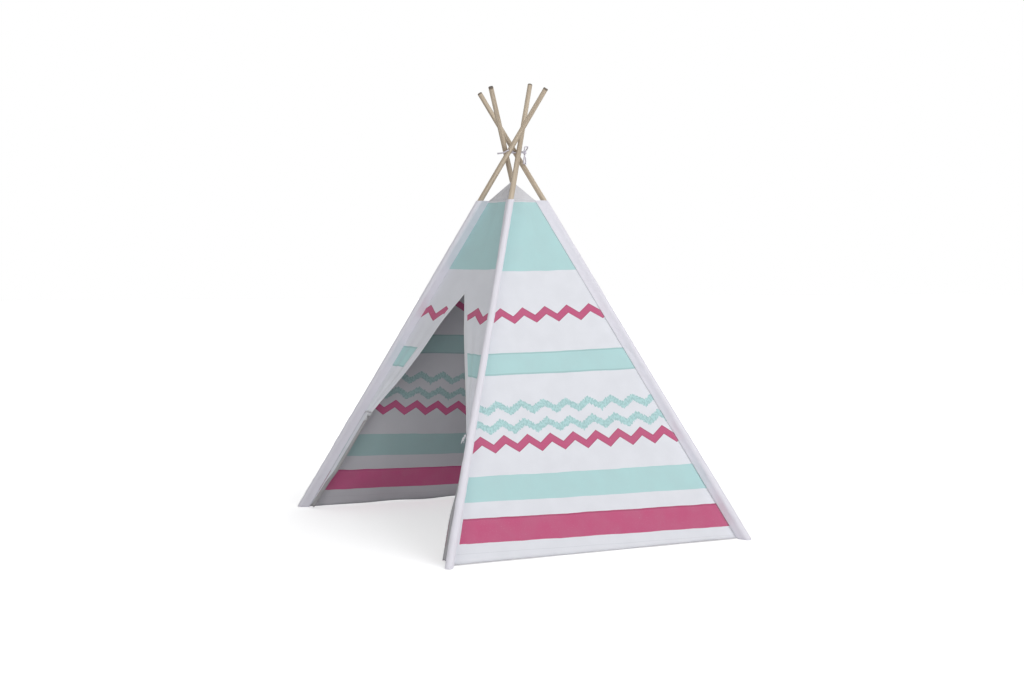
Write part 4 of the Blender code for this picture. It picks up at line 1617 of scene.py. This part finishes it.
    def tie(self, side: str, which: int, tie: float) -> None:
        """Make a ribbon tie: band round the gathered cloth, knot and two tails."""
        low = tie - self.ribbon_width
        down = self.ribbon_width / (tie - self.flap_lift)
        rings = []
        for k in range(self.band_slices + 1):
            angle = 2 * math.pi * k / self.band_slices
            ring = []
            for height, grow in ((tie, 0.0008), (tie - 0.001, 0.0017), (low + 0.001, 0.0017), (low, 0.0008)):
                centre, ahead, beside, half_wide, half_deep = self.slice_frame(which, height, down)
                crimp = 0.0004 * math.sin(9 * angle + 300 * height)
                across = (half_wide + grow + crimp) * math.cos(angle)
                deep = (half_deep + grow + crimp) * math.sin(angle)
                ring.append(centre + across * ahead + deep * beside)
            rings.append(ring)
        rings[-1] = [point.copy() for point in rings[0]]
        band = skin("band", rings, closed=True, caps=False)
        centre, ahead, _, half_wide, half_deep = self.slice_frame(which, (tie + low) / 2, down)
        slope = -self.plane.rise
        spot = centre + 0.6 * half_wide * ahead + (0.85 * half_deep + 0.0040) * self.plane.normal
        parts = [band, self.knot(spot, slope)]
        for number, spread in enumerate((-1, 1)):
            parts.append(self.ribbon_tail(spot, slope, spread, number + 2 * which))
        obj = join_parts(parts)
        name = f"ribbon_tie_{side}"
        finish_piece(obj, name, self.finishes.ribbon, f"door_flap_{side}", Slot.RIBBON, [f"ribbon_{side}"])

    def knot(self, spot: Vector, slope: Vector) -> Piece:
        """Make the small square knot: two soft turns of ribbon across each other."""
        rings = []
        for k in range(self.knot_slices + 1):
            t = k / self.knot_slices
            swell = math.sin(math.pi * t) ** 0.55
            pinch = 1 - 0.25 * math.exp(-((t - 0.5) / 0.10) ** 2)
            centre = spot + (t - 0.5) * 0.0125 * self.plane.along
            ring = []
            for n in range(self.knot_sides):
                angle = 2 * math.pi * n / self.knot_sides
                crease = 1 - 0.16 * math.cos(4 * angle + 9 * t)
                up = 0.0046 * swell * pinch * math.cos(angle) * crease
                out = 0.0040 * swell * pinch * math.sin(angle) * crease
                ring.append(centre - up * slope + out * self.plane.normal)
            rings.append(ring)
        return skin("knot", rings)

    def ribbon_tail(self, spot: Vector, slope: Vector, spread: int, number: int) -> Piece:
        """Make one ribbon tail, which falls down the flap in a soft curl with a slanted end."""
        length = self.tail_length * (1.0 - 0.12 * (number % 2))
        rings = []
        for k in range(self.tail_slices + 1):
            t = k / self.tail_slices
            curl = math.sin(5.2 * t + number)
            aside = spread * (0.006 * t ** 0.8 + 0.0014 * curl * t)
            lift = 0.0035 * math.sin(math.pi * t) + 0.0016 * curl * t
            centre = spot + aside * self.plane.along + t * length * slope + lift * self.plane.normal
            twist = 0.5 * curl * t
            across = math.cos(twist) * self.plane.along + math.sin(twist) * self.plane.normal
            out = across.cross(slope).normalized()
            half = self.tail_width / 2 * (0.55 + 0.45 * smooth(t, 0.0, 0.3))
            ring = []
            for side, face in ((-1, -1), (0, -1), (1, -1), (1, 1), (0, 1), (-1, 1)):
                slant = 0.004 * side * spread * smooth(t, 0.8, 1.0)
                cup = 0.0012 * (1 - abs(side))
                off = face * self.ribbon_thickness / 2 + cup
                ring.append(centre + side * half * across + off * out + slant * slope)
            rings.append(ring)
        return skin("tail", rings)


@dataclass(frozen=True)
class Lamp:
    """A soft square lamp: its place, the point that it faces, its size and its power."""

    name: str
    place: tuple[float, float, float]
    aim: tuple[float, float, float]
    size: float
    power: float


@dataclass
class Studio:
    """Floor, soft light and the camera at the photograph's viewing angle."""

    lens: float = 47.315
    camera_place: tuple[float, float, float] = (4.3397, -1.9890, 0.9168)
    yaw: float = 155.350
    pitch: float = -3.192
    roll: float = 0.217
    lamps: tuple[Lamp, ...] = (
        Lamp("key", (4.2, 1.4, 3.6), (0.0, 0.0, 0.6), 3.2, 122.0),
        Lamp("fill", (3.2, -3.6, 1.3), (0.0, -0.1, 0.5), 2.6, 36.0),
        Lamp("back", (-3.5, 2.5, 3.5), (0.0, 0.0, 0.6), 3.0, 36.0),
    )
    daylight: float = 0.38
    floor_size: float = 60.0
    floor_drop: float = 0.0005
    floor_colour: tuple[float, float, float] = (0.86, 0.86, 0.87)
    shadow_reach: tuple[float, float] = (0.7, 2.4)
    shadow_light: tuple[float, float] = (0.50, 0.90)
    painted_bounce_glow: float = 0.14
    glow_ring_from: tuple[float, float] = (0.34, 0.44)
    glow_ring_to: tuple[float, float] = (0.50, 0.56)

    def build(self) -> None:
        """Set the camera, the floor, the lamps and the world."""
        self.camera()
        self.floor()
        for lamp in self.lamps:
            self.hang(lamp)
        self.world()
        bpy.context.scene.view_settings.view_transform = "Standard"

    def camera(self) -> None:
        """Place the camera where the photograph was taken from."""
        data = bpy.data.cameras.new("camera")
        data.sensor_width = 36.0
        data.lens = self.lens
        data.clip_end = 60.0
        yaw, pitch, roll = (math.radians(angle) for angle in (self.yaw, self.pitch, self.roll))
        ahead = Vector((math.cos(yaw) * math.cos(pitch), math.sin(yaw) * math.cos(pitch), math.sin(pitch)))
        level = Vector((math.sin(yaw), -math.cos(yaw), 0))
        upright = level.cross(ahead)
        right = math.cos(roll) * level + math.sin(roll) * upright
        up = -math.sin(roll) * level + math.cos(roll) * upright
        turn = Matrix((right, up, -ahead)).transposed().to_4x4()
        obj = bpy.data.objects.new("camera", data)
        obj.matrix_world = Matrix.Translation(self.camera_place) @ turn
        bpy.context.collection.objects.link(obj)
        bpy.context.scene.camera = obj

    def floor(self) -> None:
        """Lay a wide pale floor, which the camera sees as white with a soft shadow; a ring of it round the
        tent's foot glows for diffuse rays, a painted bounce light that lights the cloth inside.
        """
        bpy.ops.object.select_all(action="DESELECT")
        bpy.ops.mesh.primitive_plane_add(size=self.floor_size, location=(0, 0, -self.floor_drop))
        obj = bpy.context.active_object
        obj.name = "floor"
        graph = Graph("floor")
        graph.finish(self.floor_colour, 0.95, Specular_IOR_Level=0.1)
        ray = graph.node("ShaderNodeLightPath")
        far = graph.node("ShaderNodeVectorMath", operation="LENGTH")
        graph.put(far.inputs[0], graph.node("ShaderNodeTexCoord").outputs["Object"])
        away = far.outputs["Value"]
        level = graph.ramp(away, *self.shadow_reach, *self.shadow_light)
        # painted bounce light: the floor ring round the tent's foot glows for diffuse rays and lights the
        # inside
        near = graph.ramp(away, *self.glow_ring_from, 0.0, self.painted_bounce_glow)
        painted_bounce_glow = graph.math("MULTIPLY", near, graph.ramp(away, *self.glow_ring_to, 1.0, 0.0))
        seen = graph.math("MULTIPLY", ray.outputs["Is Camera Ray"], level)
        glow = graph.math("ADD", seen, graph.math("MULTIPLY", ray.outputs["Is Diffuse Ray"], painted_bounce_glow))
        graph.put(graph.shader.inputs["Emission Color"], (1.0, 1.0, 1.0, 1.0))
        graph.put(graph.shader.inputs["Emission Strength"], glow)
        obj.data.materials.append(graph.material)

    def hang(self, lamp: Lamp) -> None:
        """Hang one lamp."""
        data = bpy.data.lights.new(lamp.name, "AREA")
        data.shape = "SQUARE"
        data.size = lamp.size
        data.energy = lamp.power
        obj = bpy.data.objects.new(lamp.name, data)
        obj.location = lamp.place
        obj.rotation_euler = (Vector(lamp.aim) - Vector(lamp.place)).to_track_quat("-Z", "Y").to_euler()
        bpy.context.collection.objects.link(obj)

    def world(self) -> None:
        """Light the object evenly, and show white behind it."""
        world = bpy.data.worlds.new("studio")
        bpy.context.scene.world = world
        world.use_nodes = True
        tree = world.node_tree
        ray = tree.nodes.new("ShaderNodeLightPath")
        white = ray.outputs["Is Camera Ray"]
        for kind in ("Is Transmission Ray", "Is Glossy Ray"):
            either = tree.nodes.new("ShaderNodeMath")
            either.operation = "MAXIMUM"
            tree.links.new(white, either.inputs[0])
            tree.links.new(ray.outputs[kind], either.inputs[1])
            white = either.outputs[0]
        level = tree.nodes.new("ShaderNodeMapRange")
        tree.links.new(white, level.inputs["Value"])
        level.inputs["To Min"].default_value = self.daylight
        level.inputs["To Max"].default_value = 1.0
        shade = tree.nodes["Background"]
        tree.links.new(level.outputs[0], shade.inputs["Strength"])
        shade.inputs["Color"].default_value = (1.0, 1.0, 1.0, 1.0)


def main() -> None:
    """Build the teepee's looks in order."""
    logging.basicConfig(level=logging.INFO, format="%(name)s: %(message)s")
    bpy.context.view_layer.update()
    stance = Stance()
    finishes = Finishes()
    Poles(stance, finishes).build()
    Lashing(stance, finishes).build()
    Sleeves(stance, finishes).build()
    cover = Cover(stance, finishes)
    cover.build()
    Door(stance, finishes, cover).build()
    Studio().build()


if __name__ == "__main__":
    main()
